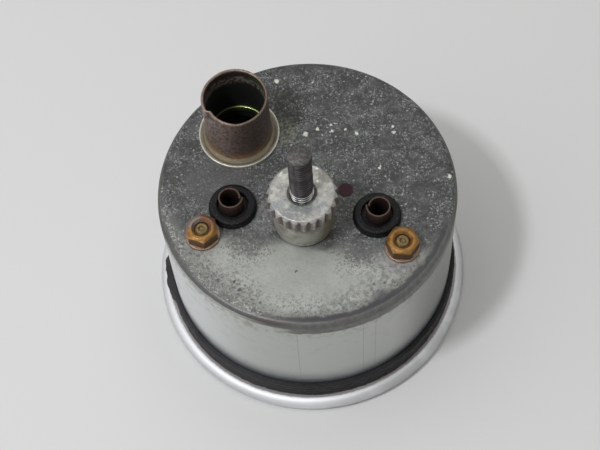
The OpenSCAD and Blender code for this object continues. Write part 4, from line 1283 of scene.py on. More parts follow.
@dataclass
class Case(Assembly):
    """The can with its holes, the rolled bezel and the rubber seal, in mm."""

    wall: float = 0.6
    edge: float = 1.2
    bend: float = 0.5
    flare: float = 0.1
    straight_z: float = 7.3
    bezel_sheet: float = 0.5
    bezel_lip: float = 1.9
    lip_depth: float = 1.5
    land: float = 0.6
    lamp_hole: float = 5.74
    stud_hole: float = 2.04
    pillar_hole: float = 1.29
    terminal_hole: float = 2.94
    varnish_hole: float = 0.7
    hole_reach: float = 1.0
    seal_steps: int = 360
    seal_soft: float = 0.25
    grooves: tuple[float, ...] = (0.75, 0.5, 0.28)
    groove_depth: float = 0.1
    groove_above: float = 0.16
    groove_below: float = 0.12
    seal_ragged: float = 0.13
    seal_wave: float = 0.12
    chunk_reach: float = 0.75
    chunk_turn: float = 193.0
    chunk_half: float = 9.0
    chunk_slope: float = 2.5

    def __post_init__(self) -> None:
        """Takes the main sizes from the frame."""
        can = Span.of("can")
        bezel = Span.of("bezel")
        self.depth = can.high.z
        self.front = can.low.z
        self.flange_r = can.radius
        self.bezel_r = bezel.radius
        self.bezel_h = bezel.high.z
        self.seal = Span.of("seal")

    def build(self) -> None:
        """Builds the can, the bezel and the seal."""
        place(self._can(), CAN_ZINC, "case", "can_zinc", "can")
        place(self._bezel(), CHROME, "case", "chrome_bezel", "bezel")
        place(self._seal(), SEAL_RUBBER, "case", "black_rubber", "seal")

    def _can(self) -> bpy.types.Object:
        """The can, turned in one piece and pierced at its back.

        Returns:
            The can.
        """
        inner = CAN_R - self.wall
        flange_back = self.front + self.wall
        foot = CAN_R + self.flare
        edge_middle = (CAN_R - self.edge, self.depth - self.edge)
        outline = [
            (inner, self.front), (self.flange_r, self.front), (self.flange_r, flange_back),
            *arc((foot + self.bend, flange_back + self.bend), self.bend, 270, 180, 4),
            (CAN_R, self.straight_z), (CAN_R, (self.straight_z + self.depth) / 2),
            *arc(edge_middle, self.edge, 0, 90, 8), (0, self.depth), (0, self.depth - self.wall),
            *arc(edge_middle, self.edge - self.wall, 90, 0, 4), (inner, self.front),
        ]
        can = turned("case_can", outline, AXIS)
        low, high = self.depth - self.hole_reach, self.depth + self.hole_reach
        sizes = (("lamp_tube", self.lamp_hole, ROUND_STEPS), ("clamp_stud", self.stud_hole, SMALL_STEPS),
                 ("varnish_dot", self.varnish_hole, SMALL_STEPS // 2))
        holes = [round_bar("round_cut", Span.of(node).middle, radius, low, high, steps)
                 for node, radius, steps in sizes]
        for node, hole in (("hex_nuts", self.pillar_hole), ("inner_insulators", self.terminal_hole)):
            span = Span.of(node)
            for side in SIDES:
                reach = span.radius - (span.high.y - span.low.y) / 2
                holes.append(round_bar("side_cut", (side * reach, span.middle[1]), hole, low, high))
        return smooth(carve(can, joined("holes", holes), Cut.OUTSIDE))

    def _bezel(self) -> bpy.types.Object:
        """The bezel, with its flat land, round outer edge and curl.

        Returns:
            The bezel.
        """
        ball = self.bezel_h / 2
        crest = self.bezel_r - ball
        lip = CAN_R - self.wall - self.bezel_lip
        curl = CAN_R + self.flare + self.bend + FIT
        outline = [
            (lip, self.lip_depth), ((lip + crest - self.land) / 2, self.lip_depth / 2),
            (crest - self.land, 0), *arc((crest, ball), ball, -90, 90, 18),
            (curl, self.bezel_h), (curl, self.bezel_h - self.bezel_sheet),
            *arc((crest, ball), ball - self.bezel_sheet, 90, -90, 10),
            (crest - self.land, self.bezel_sheet), (lip, self.lip_depth + self.bezel_sheet),
            (lip, self.lip_depth),
        ]
        return smooth(turned("bezel_ring", outline, AXIS))

    def _seal(self) -> bpy.types.Object:
        """The rubber seal, grooved on its outer face, with a torn edge and a chunk that stands out.

        Returns:
            The seal.
        """
        outer, soft = self.seal.radius, self.seal_soft
        inner = CAN_R + self.flare + FIT
        low, high = self.seal.low.z, self.seal.high.z
        grooves = []
        for share in self.grooves:
            z = low + (high - low) * share
            grooves += [(outer, z + self.groove_above), (outer - self.groove_depth, z),
                        (outer, z - self.groove_below)]
        outline = [(inner, low), (inner, high), *arc((outer - soft, high - soft), soft, 90, 0, 4),
                   *grooves, (outer, low + soft / 2), (outer - soft / 2, low), (inner, low)]
        seal = turned("rubber_seal", outline, AXIS, self.seal_steps)

        def tear(point: Vector) -> Vector:
            """Moves the outer edge in and out, and the face up and down a little.

            Args:
                point: A point of the seal in mm.

            Returns:
                Its new place.
            """
            r = point.xy.length
            share = max(0.0, (r - inner) / (outer - inner))
            angle = math.degrees(math.atan2(point.y, point.x)) % 360
            edge = wander(point, 1.1) + 0.6 * wander(point, 0.35, 4.0)
            out = self.seal_ragged * edge * share ** 2
            off = abs((angle - self.chunk_turn + 180) % 360 - 180)
            if off < self.chunk_half and share > 0.5:
                rise = min(1.0, (self.chunk_half - off) / self.chunk_slope)
                out += self.chunk_reach * rise * (0.8 + 0.3 * wander(point, 0.8, 9.0))
            lift = self.seal_wave * wander(point, 0.25, 2.0) if point.z > low + 0.2 else 0.0
            scale = (r + out) / r
            return Vector((point.x * scale, point.y * scale, point.z + lift))

        return smooth(reshape(seal, tear), math.radians(50))


@dataclass
class LampSocket(Assembly):
    """The lamp tube with its flared foot, the ring round it and the contact ring inside, in mm."""

    bore: float = 5.2
    wall: float = 0.5
    rim_soft: float = 0.25
    foot_r: float = 6.3
    flare_z: float = 0.3
    flare_h: float = 5.0
    flare_power: float = 2.8
    flare_steps: int = 12
    outer_rings: tuple[float, ...] = (40.3, 41.8, 43.2, 44.3)
    inner_rings: tuple[float, ...] = (44.6, 43.6, 42.4, 41.0, 39.0, 36.5)
    contact_w: float = 0.56
    still_h: float = 2.0
    dent_z: float = 39.5
    dent_h: float = 5.6
    dent_power: float = 1.3
    seam_turn: float = 216.0
    seam_reach: float = 62.0
    seam_lead: float = 3.0
    seam_depth: float = 0.62
    loose: float = 0.05
    droop: float = 0.12
    steps: int = 128

    def __post_init__(self) -> None:
        """Takes the main sizes from the frame."""
        tube = Span.of("lamp_tube")
        ring = Span.of("lamp_flange")
        contact = Span.of("lamp_contact_ring")
        self.middle = tube.middle
        self.low, self.high = tube.low.z, tube.high.z
        self.back = ring.low.z
        self.ring_r, self.ring_h = ring.radius, ring.high.z - ring.low.z
        self.contact_r, self.contact_z, self.contact_top = contact.radius, contact.low.z, contact.high.z
        self.outer = self.bore + self.wall

    def build(self) -> None:
        """Builds the three rings of the socket."""
        place(self._tube(), TUBE_BRONZE, "case", "tube_bronze", "lamp_tube")
        place(self._flange(), FLANGE_PLATE, "case", "can_zinc", "lamp_flange")
        place(self._contact(), CONTACT_BRASS, "case", "brass", "lamp_contact_ring")

    def _tube(self) -> bpy.types.Object:
        """The drawn tube, dented at its mouth.

        Returns:
            The tube.
        """
        flare = []
        for k in range(self.flare_steps + 1):
            t = k / self.flare_steps
            rise = (self.foot_r - self.outer) * (1 - t) ** self.flare_power
            flare.append((self.outer + rise, self.back + self.flare_z + t * self.flare_h))
        seat = self.contact_r + FIT
        lower = self.contact_r - self.contact_w
        outline = [
            (self.outer, self.low), (self.outer, self.back), (self.foot_r, self.back), *flare,
            *[(self.outer, z) for z in self.outer_rings],
            *arc((self.bore + self.rim_soft, self.high - self.rim_soft), self.rim_soft, 0, 180, 6),
            *[(self.bore, z) for z in self.inner_rings], (self.bore, self.contact_top),
            (seat, self.contact_top), (seat, self.contact_z), (lower, self.contact_z), (lower, self.low),
            (self.outer, self.low),
        ]
        tube = turned("lamp_tube_drawn", outline, self.middle, self.steps)
        base = Vector((*self.middle, 0))

        def bump(point: Vector) -> Vector:
            """Dents the mouth on one side and lets the wall wander.

            Args:
                point: A point of the tube in mm.

            Returns:
                Its new place.
            """
            arm = point - base
            arm.z = 0
            if point.z < self.back + self.still_h:
                return point
            angle = math.degrees(math.atan2(arm.y, arm.x)) % 360
            height = min(1.0, max(0.0, (point.z - self.dent_z) / self.dent_h)) ** self.dent_power
            off = (angle - self.seam_turn + 180) % 360 - 180
            step = 0.0
            if -self.seam_lead < off < self.seam_reach:
                rise = min(1.0, (off + self.seam_lead) / (2 * self.seam_lead))
                step = self.seam_depth * (1 - max(0.0, off) / self.seam_reach) * rise
            loose = self.loose * wander(point, 5.0, 3.0) * height
            scale = 1 - (step * height - loose) / max(arm.length, 1)
            droop = self.droop * height * wander(Vector((arm.x, arm.y, 0)), 2.4, 6.0)
            return Vector((base.x + arm.x * scale, base.y + arm.y * scale, point.z + min(0.0, droop)))

        return smooth(reshape(tube, bump), math.radians(40))

    def _flange(self) -> bpy.types.Object:
        """The ring round the foot, hollowed towards the tube and rolled at its rim.

        Returns:
            The ring.
        """
        low, high = self.back, self.back + self.ring_h
        inner = self.foot_r + FIT
        corners = [Corner(inner, low), Corner(inner, low + 0.2), Corner(inner + 0.1, low + 0.24, 0.08),
                   Corner(self.ring_r - 0.3, high, 0.16), Corner(self.ring_r, high, 0.18),
                   Corner(self.ring_r, low)]
        return smooth(turned("lamp_foot_ring", rounded(corners, closed=True), self.middle, self.steps))

    def _contact(self) -> bpy.types.Object:
        """The contact ring deep in the tube, with a rolled inner edge.

        Returns:
            The ring.
        """
        low, high = self.contact_z, self.contact_top
        inner = self.contact_r - self.contact_w
        corners = [Corner(inner, low), Corner(inner, high, 0.25), Corner(self.contact_r, high, 0.05),
                   Corner(self.contact_r, low)]
        return smooth(turned("contact_ring_rolled", rounded(corners, closed=True), self.middle, ROUND_STEPS))


@dataclass
class Terminals(Assembly):
    """The two rolled terminal tubes in their black bushes, in mm."""

    x: float = 12.75
    tube_r: float = 1.9
    strip: float = 0.28
    strip_steps: int = 44
    root: float = 0.4
    foot_reach: float = 0.6
    foot_h: float = 0.5
    foot_gap: float = 0.3
    bush_r: float = 4.15
    hub_wall: float = 1.0
    hole_r: float = 2.7
    bush_h: float = 1.4
    floor_h: float = 0.4
    edge: float = 0.14
    shift: float = 0.35
    lip_reach: float = 0.46
    lip_from: float = 0.6
    lip_power: float = 1.5
    sweep: float = 366.0

    def __post_init__(self) -> None:
        """Takes the main sizes from the frame."""
        tubes = Span.of("terminal_tubes")
        self.low, self.high = tubes.low.z, tubes.high.z
        self.y = tubes.middle[1]
        self.floor = Span.of("outer_insulators").low.z

    def build(self) -> None:
        """Builds the tubes and the bushes of both sides."""
        tubes = joined("terminal_scrolls", [self._tube(side) for side in SIDES])
        place(smooth(tubes, math.radians(40)), TERMINAL_COPPER, "case", "terminal_bronze", "terminal_tubes")
        bushes = joined("terminal_bushes", [self._bush(side) for side in SIDES])
        place(smooth(bushes), BUSH_BLACK, "case", "black_resin", "outer_insulators")

    def _tube(self, side: int) -> bpy.types.Object:
        """A strip rolled to a tube, whose end stands out a little beside its slit.

        Args:
            side: -1 for the side at -X, 1 for the other.

        Returns:
            The tube.
        """
        middle = self.tube_r - self.strip / 2
        slit = 180.0 if side > 0 else 0.0
        low = BACK_Z - self.root
        points = []
        for k in range(self.strip_steps + 1):
            t = k / self.strip_steps
            angle = math.radians(slit - side * self.sweep * t)
            bulge = max(0.0, (t - self.lip_from) / (1 - self.lip_from)) ** self.lip_power
            r = middle + self.lip_reach * bulge
            points.append(Vector((side * self.x + r * math.cos(angle), self.y + r * math.sin(angle), low)))
        tube = drawn("scroll", points)
        with editing(tube):
            bpy.ops.mesh.extrude_region_move(
                TRANSFORM_OT_translate={"value": Vector((0, 0, self.high - low)) * MM})
            bpy.ops.mesh.normals_make_consistent(inside=False)
        modifier = tube.modifiers.new("sheet", "SOLIDIFY")
        modifier.thickness = self.strip * MM
        modifier.offset = 0
        activate(tube)
        bpy.ops.object.modifier_apply(modifier=modifier.name)
        ease_edges(tube, 0.05)
        foot, foot_top, wall_top = self.low, self.low + self.foot_h, BACK_Z - self.foot_gap
        inner, foot_r = self.tube_r - self.strip, self.tube_r + self.foot_reach
        wall = [(inner, foot), (foot_r, foot), (foot_r, foot_top), (self.tube_r, foot_top),
                (self.tube_r, wall_top), (inner, wall_top), (inner, foot)]
        lower = turned("scroll_foot", wall, (side * self.x, self.y), SMALL_STEPS)
        return joined("scroll", [tube, lower])

    def _bush(self, side: int) -> bpy.types.Object:
        """A stepped bush whose round hole stands off the tube on the inner side.

        Args:
            side: -1 for the side at -X, 1 for the other.

        Returns:
            The bush.
        """
        tube_hole = self.tube_r + FIT
        hub = self.tube_r + self.hub_wall
        step, high = BACK_Z + self.bush_h / 2, BACK_Z + self.bush_h
        corners = [
            Corner(tube_hole, self.floor), Corner(hub, self.floor), Corner(hub, BACK_Z),
            Corner(self.bush_r, BACK_Z), Corner(self.bush_r, step, 0.12),
            Corner(self.bush_r - self.edge, step + 0.05, 0.05), Corner(self.bush_r - self.edge, high, 0.5),
            Corner(self.hole_r, high, 0.12), Corner(self.hole_r, BACK_Z + self.floor_h),
            Corner(tube_hole, BACK_Z + self.floor_h),
        ]
        middle = (side * (self.x - self.shift), self.y)
        bush = turned("bush", rounded(corners, closed=True), middle, ROUND_STEPS)
        base = Vector((*middle, 0))

        def seat(point: Vector) -> Vector:
            """Moves the hub and the tube's hole under the tube.

            Args:
                point: A point of the bush in mm.

            Returns:
                Its new place.
            """
            near = (point - base).xy.length < (tube_hole + self.hole_r) / 2
            if near or point.z < BACK_Z - 0.01:
                return point + Vector((side * self.shift, 0, 0))
            return point

        return reshape(bush, seat)


@dataclass
class PillarNuts(Assembly):
    """The brass nuts on the pillars' ends, with washers, in mm."""

    flats: float = 5.0
    chamfer: float = 0.42
    chamfer_h: float = 0.35
    crown: float = 0.5
    turns: tuple[float, float] = (15.0, 30.0)
    bolt_r: float = 1.25
    sink: float = 0.45
    edge: float = 0.07
    pillar_r: float = 2.0
    screw_r: float = 1.0
    screw_h: float = 13.2
    tip: float = 0.3
    dimple_r: float = 0.55
    dimple_foot: float = 0.35
    dimple_depth: float = 0.25

    def __post_init__(self) -> None:
        """Takes the main sizes from the frame."""
        nuts = Span.of("hex_nuts")
        washers = Span.of("nut_washers")
        pillars = Span.of("pillars")
        self.low, self.high = nuts.low.z, nuts.high.z
        self.y = washers.middle[1]
        self.washer_r = (washers.high.y - washers.low.y) / 2
        self.x = washers.radius - self.washer_r
        self.washer_z, self.washer_top = washers.low.z, washers.high.z
        self.pillar_low, self.pillar_high = pillars.low.z, pillars.high.z

    def build(self) -> None:
        """Builds nuts, washers and pillars of both sides."""
        nuts = joined("brass_nuts", [self._nut(side, math.radians(turn))
                                     for side, turn in zip(SIDES, self.turns)][::-1])
        place(smooth(nuts, math.radians(25)), NUT_BRASS, "case", "brass", "hex_nuts")
        washers = on_both_sides("brass_washers", self._washer(), 2 * self.x)
        place(smooth(washers), WASHER_METAL, "case", "washer_metal", "nut_washers")
        pillars = on_both_sides("brass_pillars", self._pillar(), 2 * self.x)
        place(smooth(pillars), PILLAR_BRASS, "case", "brass", "pillars")

    def _nut(self, side: int, turn: float) -> bpy.types.Object:
        """A hexagon nut, rounded off on top and hollowed round its hole.

        Args:
            side: -1 for the side at -X, 1 for the other.
            turn: How far it is turned in radians.

        Returns:
            The nut.
        """
        corner = self.flats / 2 / math.cos(math.radians(30))
        middle = (side * self.x, self.y)
        bore, below = self.bolt_r + FIT, self.low - 1
        nut = round_bar("nut", middle, corner, self.low, self.high, 6, turn)
        crown = [
            (bore, below), (corner + 1, below), (corner + 1, self.high - self.chamfer - self.chamfer_h),
            (corner, self.high - self.chamfer),
            *arc((self.flats / 2 - self.crown, self.high - self.crown), self.crown, 52, 90, 5),
            (self.bolt_r + self.sink, self.high), (bore, self.high - self.sink), (bore, below),
        ]
        carve(nut, turned("crown", crown, middle, SMALL_STEPS), Cut.INSIDE)
        return ease_edges(nut, self.edge)

    def _washer(self) -> bpy.types.Object:
        """A plain washer with rounded edges, at +X.

        Returns:
            The washer.
        """
        inner = self.bolt_r + FIT
        corners = [Corner(inner, self.washer_z), Corner(self.washer_r, self.washer_z, 0.08),
                   Corner(self.washer_r, self.washer_top, 0.2), Corner(inner, self.washer_top)]
        return turned("washer", rounded(corners, closed=True), (self.x, self.y), SMALL_STEPS)

    def _pillar(self) -> bpy.types.Object:
        """A pillar at +X whose threaded end closes the nut's hole with a shallow dimple.

        Returns:
            The pillar.
        """
        low, top, bolt = self.pillar_low, self.pillar_high, self.bolt_r
        outline = [
            (0, low), (self.screw_r, low), (self.screw_r, self.screw_h), (self.pillar_r, self.screw_h),
            (self.pillar_r, BACK_INSIDE_Z), (bolt, BACK_INSIDE_Z), (bolt, top - self.tip),
            (bolt - self.tip, top), (self.dimple_r, top), (self.dimple_foot, top - self.dimple_depth),
            (0, top - self.tip),
        ]
        return turned("pillar", outline, (self.x, self.y), SMALL_STEPS * 3 // 4)


@dataclass
class Clamp(Assembly):
    """The threaded stud, and the thumb nut on its collar, in mm."""

    stud_r: float = 2.0
    stud_steps: int = 72
    neck: float = 0.1
    tip: float = 0.4
    pitch: float = 0.7
    turn_rings: int = 8
    thread_start: float = 0.7
    thread_end: float = 0.35
    thread_depth: float = 0.38
    thread_width: float = 1.25
    nut_r: float = 6.0
    nut_steps: int = 144
    teeth: int = 22
    tooth_depth: float = 0.55
    tooth_foot: float = 0.47
    tooth_tip: float = 0.07
    shoulder: float = 0.62
    slant: float = 1.6
    bore: float = 2.05
    bore_sink: float = 0.45
    edge: float = 0.4
    tooth_edge: float = 0.05

    def __post_init__(self) -> None:
        """Takes the main sizes from the frame."""
        stud = Span.of("clamp_stud")
        collar = Span.of("nut_collar")
        nut = Span.of("thumb_nut")
        self.middle = nut.middle
        self.stud_low, self.stud_high = stud.low.z, stud.high.z
        self.head_r = stud.radius
        self.collar_r, self.collar_low, self.collar_high = collar.radius, collar.low.z, collar.high.z
        self.nut_low, self.nut_high = nut.low.z, nut.high.z

    def build(self) -> None:
        """Builds the stud, the collar and the nut."""
        place(self._stud(), STUD_STEEL, "case", "dark_steel", "clamp_stud")
        place(self._collar(), COLLAR_PLATE, "collar", "nut_plate", "nut_collar")
        place(self._nut(), NUT_PLATE, "nut", "nut_plate", "thumb_nut")

    def _stud(self) -> bpy.types.Object:
        """The stud, whose thread is a ridge that winds up it.

        Returns:
            The stud.
        """
        start, end = BACK_INSIDE_Z + self.thread_start, self.stud_high - self.thread_end
        count = round((end - start) / self.pitch * self.turn_rings)
        levels = [start + (end - start) * k / count for k in range(count + 1)]
        outline = [
            (0, self.stud_low), (self.head_r, self.stud_low), (self.head_r, BACK_INSIDE_Z),
            (self.stud_r - self.neck, BACK_INSIDE_Z), *[(self.stud_r, z) for z in levels],
            (self.stud_r - self.tip, self.stud_high), (0, self.stud_high),
        ]
        stud = turned("threaded_stud", outline, self.middle, self.stud_steps)
        base = Vector((*self.middle, 0))

        def wind(point: Vector) -> Vector:
            """Sinks the valleys of the thread.

            Args:
                point: A point of the stud in mm.

            Returns:
                Its new place.
            """
            arm = point - base
            if not start - 0.01 < point.z < end + 0.01 or arm.xy.length < self.stud_r - 0.2:
                return point
            turn = math.atan2(arm.y, arm.x) / FULL_TURN
            wave = (point.z / self.pitch - turn) % 1.0
            valley = 1 - abs(2 * wave - 1)
            fade = min(1.0, (point.z - start) / 0.5, (end - point.z) / 0.25 + 0.2)
            depth = self.thread_depth * min(1.0, valley * self.thread_width) * max(0.0, fade)
            scale = (self.stud_r - 0.01 - depth) / arm.xy.length
            return Vector((base.x + arm.x * scale, base.y + arm.y * scale, point.z))

        return smooth(reshape(stud, wind), math.radians(60))

    def _collar(self) -> bpy.types.Object:
        """The plain collar, eased at its foot.

        Returns:
            The collar.
        """
        corners = [
            Corner(self.bore, self.collar_low), Corner(self.collar_r - self.edge, self.collar_low, 0.1),
            Corner(self.collar_r, self.collar_low + self.edge, 0.15),
            Corner(self.collar_r, (self.collar_low + self.collar_high) / 2),
            Corner(self.collar_r, self.collar_high, 0.06), Corner(self.bore, self.collar_high),
        ]
        return smooth(turned("plain_collar", rounded(corners, closed=True), self.middle, SMALL_STEPS * 2))

    def _nut(self) -> bpy.types.Object:
        """The thumb nut: a toothed disc, turned down at its shoulders and bored.

        Returns:
            The nut.
        """
        x, y = self.middle
        root = self.nut_r - self.tooth_depth
        pitch = FULL_TURN / self.teeth
        outline = []
        for k in range(self.teeth):
            for share, r in ((-self.tooth_foot, root), (-self.tooth_tip, self.nut_r),
                             (self.tooth_tip, self.nut_r), (self.tooth_foot, root)):
                angle = (k + share) * pitch
                outline.append(Vector((x + r * math.cos(angle), y + r * math.sin(angle), self.nut_low)))
        nut = drawn("toothed_nut", [*outline, outline[0]])
        with editing(nut):
            bpy.ops.mesh.edge_face_add()
            bpy.ops.mesh.extrude_region_move(
                TRANSFORM_OT_translate={"value": Vector((0, 0, self.nut_high - self.nut_low)) * MM})
            bpy.ops.mesh.select_all(action="SELECT")
            bpy.ops.mesh.normals_make_consistent(inside=False)
        corners = [
            Corner(self.bore, self.nut_low), Corner(self.nut_r - self.shoulder, self.nut_low, 0.1),
            Corner(self.nut_r + 0.1, self.nut_low + self.shoulder + 0.1, 0.1),
            Corner(self.nut_r + 0.1, self.nut_high - self.shoulder * self.slant, 0.12),
            Corner(self.nut_r - self.shoulder, self.nut_high, 0.16),
            Corner(self.bore + self.bore_sink, self.nut_high, 0.12),
            Corner(self.bore, self.nut_high - self.bore_sink),
        ]
        body = turned("nut_body", rounded(corners, closed=True), self.middle, self.nut_steps)
        carve(nut, body, Cut.INSIDE)
        return smooth(ease_edges(nut, self.tooth_edge), math.radians(30))


@dataclass
class Varnish(Assembly):
    """The drop of sealing varnish over the adjuster's hole, in mm."""

    stem_r: float = 0.66
    steps: int = 72

    def __post_init__(self) -> None:
        """Takes the main sizes from the frame."""
        self.span = Span.of("varnish_dot")

    def build(self) -> None:
        """Builds the drop."""
        low, high, r = self.span.low.z, self.span.high.z, self.span.radius
        outline = [(0, low), (self.stem_r, low), (self.stem_r, BACK_Z), (r, BACK_Z), (r, BACK_Z + 0.05),
                   (r * 0.94, BACK_Z + 0.15), (r * 0.82, high - 0.02), (r * 0.6, high - 0.05),
                   (0, high - 0.09)]
        drop = turned("varnish_drop", outline, self.span.middle, self.steps)
        base = Vector((*self.span.middle, 0))

        def spread(point: Vector) -> Vector:
            """Lets the rim wander.

            Args:
                point: A point of the drop in mm.

            Returns:
                Its new place.
            """
            arm = (point - base).xy
            if arm.length < self.stem_r + 0.1:
                return point
            scale = 0.985 + 0.02 * wander(point, 0.9, 5.0)
            return Vector((base.x + arm.x * scale, base.y + arm.y * scale, point.z))

        smooth(reshape(drop, spread), math.radians(60))
        place(drop, VARNISH_RED, "case", "red_varnish", "varnish_dot")


@dataclass
class Dial(Assembly):
    """The dial's numbers, its hot mark, the stepped ring round it and the hub, in mm."""

    cold_angle: float = 45.0
    sweep: float = 90.0
    numbers: tuple[str, ...] = ("40", "60", "80", "100", "120")
    number_r: float = 16.6
    number_h: float = 2.6
    unit_y: float = 3.2
    unit_h: float = 2.4
    letter_scale: float = 1.38
    print_t: float = 0.06
    print_gap: float = 0.02
    arc_r: float = 19.1
    arc_w: float = 0.6
    arc_steps: int = 24
    hot_sweep: float = 16.0
    ring_wall: float = 1.1
    ring_step: float = 0.4
    hub_hole: float = 0.54
    hub_floor: float = 0.4

    def __post_init__(self) -> None:
        """Takes the main sizes from the frame."""
        self.pivot = Span.of("spindle").middle
        self.face = Span.of("dial").low.z
        self.ring = Span.of("inner_ring")
        self.hub = Span.of("pointer_hub")

    def build(self) -> None:
        """Builds the print, the ring and the hub."""
        figures = []
        for i, number in enumerate(self.numbers):
            angle = math.radians(self.cold_angle + self.sweep * i / (len(self.numbers) - 1))
            x = self.pivot[0] + self.number_r * math.cos(angle)
            y = self.pivot[1] + self.number_r * math.sin(angle)
            figures.append(self._figure(number, x, y, self.number_h))
        figures.append(self._figure("°C", 0.0, self.unit_y, self.unit_h))
        place(joined("dial_numbers", figures), PRINT_WHITE, "case", "white_print")
        place(self._hot_arc(), PRINT_RED, "case", "white_print")
        place(self._ring(), DIAL_BLACK, "case", "black_enamel", "inner_ring")
        place(self._hub(), HUB_BLACK, "pointer_and_spindle", "black_resin", "pointer_hub")

    def _figure(self, words: str, x: float, y: float, height: float) -> bpy.types.Object:
        """A number that reads from the front.

        Args:
            words: The digits or the unit.
            x: The middle of the number along X, in mm.
            y: The middle of the number along Y, in mm.
            height: The height of the digits in mm.

        Returns:
            The number as a mesh.
        """
        bpy.ops.object.select_all(action="DESELECT")
        bpy.ops.object.text_add(location=(0, 0, 0))
        text = bpy.context.object
        text.data.body = words
        text.data.size = height * self.letter_scale * MM
        text.data.extrude = self.print_t / 2 * MM
        text.data.align_x = "CENTER"
        text.data.align_y = "CENTER"
        activate(text)
        bpy.ops.object.convert(target="MESH")
        obj = bpy.context.object
        obj.rotation_euler = (0, math.pi, 0)
        obj.location = Vector((x, y, self.face - self.print_t / 2 - self.print_gap)) * MM
        settle(obj)
        close_up(obj)
        return obj

    def _hot_arc(self) -> bpy.types.Object:
        """The red mark along the hot end of the scale.

        Returns:
            The mark.
        """
        low, high = self.face - self.print_t - self.print_gap, self.face - self.print_gap
        inner, outer = self.arc_r - self.arc_w / 2, self.arc_r + self.arc_w / 2
        start = self.cold_angle + self.sweep - self.hot_sweep
        outline = [(inner, low), (outer, low), (outer, high), (inner, high), (inner, low)]
        mark = turned("hot_mark", outline, self.pivot, self.arc_steps, math.radians(start),
                      math.radians(self.hot_sweep))
        with editing(mark):
            bpy.ops.mesh.select_all(action="DESELECT")
            bpy.ops.mesh.select_non_manifold()
            bpy.ops.mesh.edge_face_add()
        close_up(mark)
        return mark

    def _ring(self) -> bpy.types.Object:
        """The black ring between glass and dial, stepped inside.

        Returns:
            The ring.
        """
        outer = self.ring.radius
        inner = outer - self.ring_wall
        low, high = self.ring.low.z, self.ring.high.z
        shelf = high - self.ring_wall
        corners = [Corner(outer, low), Corner(outer, high), Corner(inner, high), Corner(inner, shelf, 0.15),
                   Corner(inner + self.ring_step, shelf - self.ring_step, 0.15),
                   Corner(inner + self.ring_step, low)]
        return smooth(turned("dial_surround", rounded(corners, closed=True), AXIS))

    def _hub(self) -> bpy.types.Object:
        """The pointer's hub, domed towards the glass.

        Returns:
            The hub.
        """
        low, high, r = self.hub.low.z, self.hub.high.z, self.hub.radius
        floor = low + self.hub_floor
        corners = [Corner(0, low), Corner(r * 0.55, low), Corner(r - 0.15, low + 0.14, 0.15),
                   Corner(r, floor, 0.15), Corner(r, high), Corner(self.hub_hole, high),
                   Corner(self.hub_hole, floor), Corner(0, floor)]
        outline = rounded(corners, closed=False)
        return smooth(turned("pointer_hub_domed", outline, self.hub.middle, ROUND_STEPS))


CARRIED: dict[str, Finish] = {
    "glass_gasket": GASKET_RUBBER, "glass": CLEAR_GLASS, "dial": DIAL_BLACK, "dial_marks": PRINT_WHITE,
    "dial_screws": BRIGHT_STEEL, "dial_posts": BRASS, "stop_pins": BRIGHT_STEEL,
    "movement_plate": PLATE_METAL, "front_bearing": BRASS, "rear_cock": PLATE_METAL,
    "cock_screws": BRIGHT_STEEL, "rear_bearing": BRASS, "yoke": SOFT_IRON, "yoke_rivets": BRIGHT_STEEL,
    "coil_cores": SOFT_IRON, "coil_bobbins": BOBBIN_RESIN, "coil_windings": COPPER_WIRE,
    "coil_leads": COPPER_WIRE, "inner_insulators": FIBRE_BROWN, "solder_tags": TINNED_BRASS,
    "spindle": BRIGHT_STEEL, "armature": SOFT_IRON, "pointer": POINTER_WHITE, "balance_arm": BRASS,
}


def dress_carried(nodes: Mapping[str, bpy.types.Object]) -> None:
    """Gives the CAD nodes that keep their own meshes their finishes.

    Args:
        nodes: The CAD nodes by name.
    """
    for name, finish in CARRIED.items():
        dress(nodes[name], finish)
        log.info("%s: finished as %s", name, finish.name)


# Stage, lights and camera

@dataclass(frozen=True)
class Lamp:
    """A soft square lamp that faces the gauge: metres, degrees from the camera's side, watts."""

    name: str
    size: float
    distance: float
    lift: float
    turn: float
    power: float
    tone: Tone = Tone(255, 255, 255)

    def hang(self, swing: float) -> None:
        """Makes the lamp.

        Args:
            swing: How far the camera stands round from the front, in degrees.
        """
        data = bpy.data.lights.new(self.name, "AREA")
        data.shape = "SQUARE"
        data.size = self.size
        data.energy = self.power
        data.color = self.tone.linear()[:3]
        lamp = bpy.data.objects.new(self.name, data)
        bpy.context.scene.collection.objects.link(lamp)
        lamp.matrix_world = (
            Matrix.Rotation(math.radians(swing - self.turn), 4, "Z")
            @ Matrix.Rotation(math.radians(90 - self.lift), 4, "X")
            @ Matrix.Translation((0, 0, self.distance)))


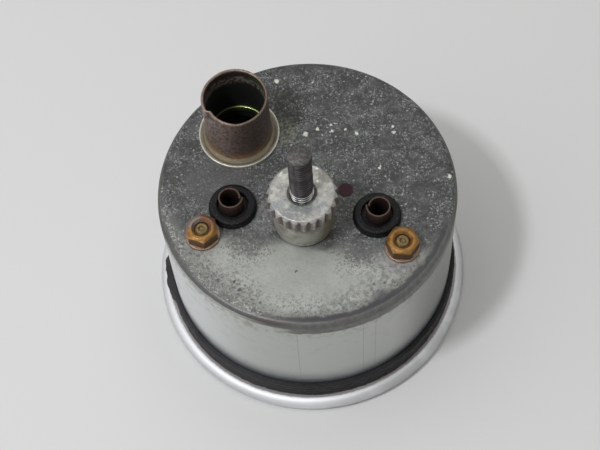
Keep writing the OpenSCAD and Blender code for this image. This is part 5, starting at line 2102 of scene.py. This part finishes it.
@dataclass
class Studio:
    """The pale floor, the soft lights and the camera."""

    floor_size: float = 6.0
    floor_paper: Finish = Finish("studio_paper", Tone(208, 208, 208), 0.7,
                                 shader={"Specular IOR Level": 0.25})
    world_tone: Tone = Tone(255, 255, 250)
    world_strength: float = 0.43
    world_gloss: float = 0.2
    lamps: tuple[Lamp, ...] = (
        Lamp("key", size=0.045, distance=0.48, lift=65.0, turn=61.0, power=0.88, tone=Tone(250, 252, 255)),
        Lamp("window", size=1.1, distance=0.95, lift=32.0, turn=80.0, power=2.1),
        Lamp("ceiling", size=1.2, distance=1.2, lift=75.0, turn=180.0, power=3.4),
    )
    lens: float = 87.8
    sensor: float = 36.0
    lift: float = 63.326
    roll: float = -4.555
    swing: float = 8.887
    target: tuple[float, float, float] = (-1.71, -7.003, 33.0)
    distance: float = 249.78
    clip_start: float = 0.01

    def build(self) -> None:
        """Builds floor, world, lamps and camera."""
        self._floor()
        self._world()
        for lamp in self.lamps:
            lamp.hang(self.swing)
        self._camera()

    def _floor(self) -> None:
        """Lays the floor."""
        bpy.ops.object.select_all(action="DESELECT")
        bpy.ops.mesh.primitive_plane_add(size=self.floor_size, location=(0, 0, 0))
        floor = bpy.context.object
        floor.name = "studio_floor"
        dress(floor, self.floor_paper)

    def _world(self) -> None:
        """Lights the scene evenly from all sides."""
        world = bpy.data.worlds.new("studio_air")
        bpy.context.scene.world = world
        world.use_nodes = True
        world.node_tree.nodes.clear()
        wiring = Wiring(world.node_tree)
        rays = wiring.add("ShaderNodeLightPath")
        seen = wiring.math("ADD", rays.outputs["Is Camera Ray"], rays.outputs["Is Glossy Ray"])
        strength = wiring.math("ADD", wiring.math("MULTIPLY", seen, self.world_gloss), self.world_strength)
        air = wiring.add("ShaderNodeBackground", {"Color": self.world_tone.linear(), "Strength": strength})
        wiring.add("ShaderNodeOutputWorld", {"Surface": air.outputs[0]})

    def _camera(self) -> None:
        """Stands the camera where the photograph was taken from."""
        data = bpy.data.cameras.new("view")
        data.lens = self.lens
        data.sensor_fit = "HORIZONTAL"
        data.sensor_width = self.sensor
        data.clip_start = self.clip_start
        camera = bpy.data.objects.new("view", data)
        bpy.context.scene.collection.objects.link(camera)
        camera.matrix_world = (
            Matrix.Rotation(math.radians(self.swing), 4, "Z")
            @ Matrix.Translation(Vector(self.target) * MM)
            @ Matrix.Rotation(math.radians(90 - self.lift), 4, "X")
            @ Matrix.Rotation(math.radians(self.roll), 4, "Z")
            @ Matrix.Translation((0, 0, self.distance * MM)))
        bpy.context.scene.camera = camera
        bpy.context.scene.view_settings.view_transform = "Standard"


def main() -> None:
    """Builds every sub-assembly round the frame."""
    logging.basicConfig(level=logging.INFO, format="%(name)s: %(message)s")
    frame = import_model()
    dress_carried(frame["nodes"])
    for assembly in (Case(), LampSocket(), Terminals(), PillarNuts(), Clamp(), Varnish(), Dial()):
        assembly.build()
        log.info("%s is in place", type(assembly).__name__)
    Studio().build()


if __name__ == "__main__":
    main()
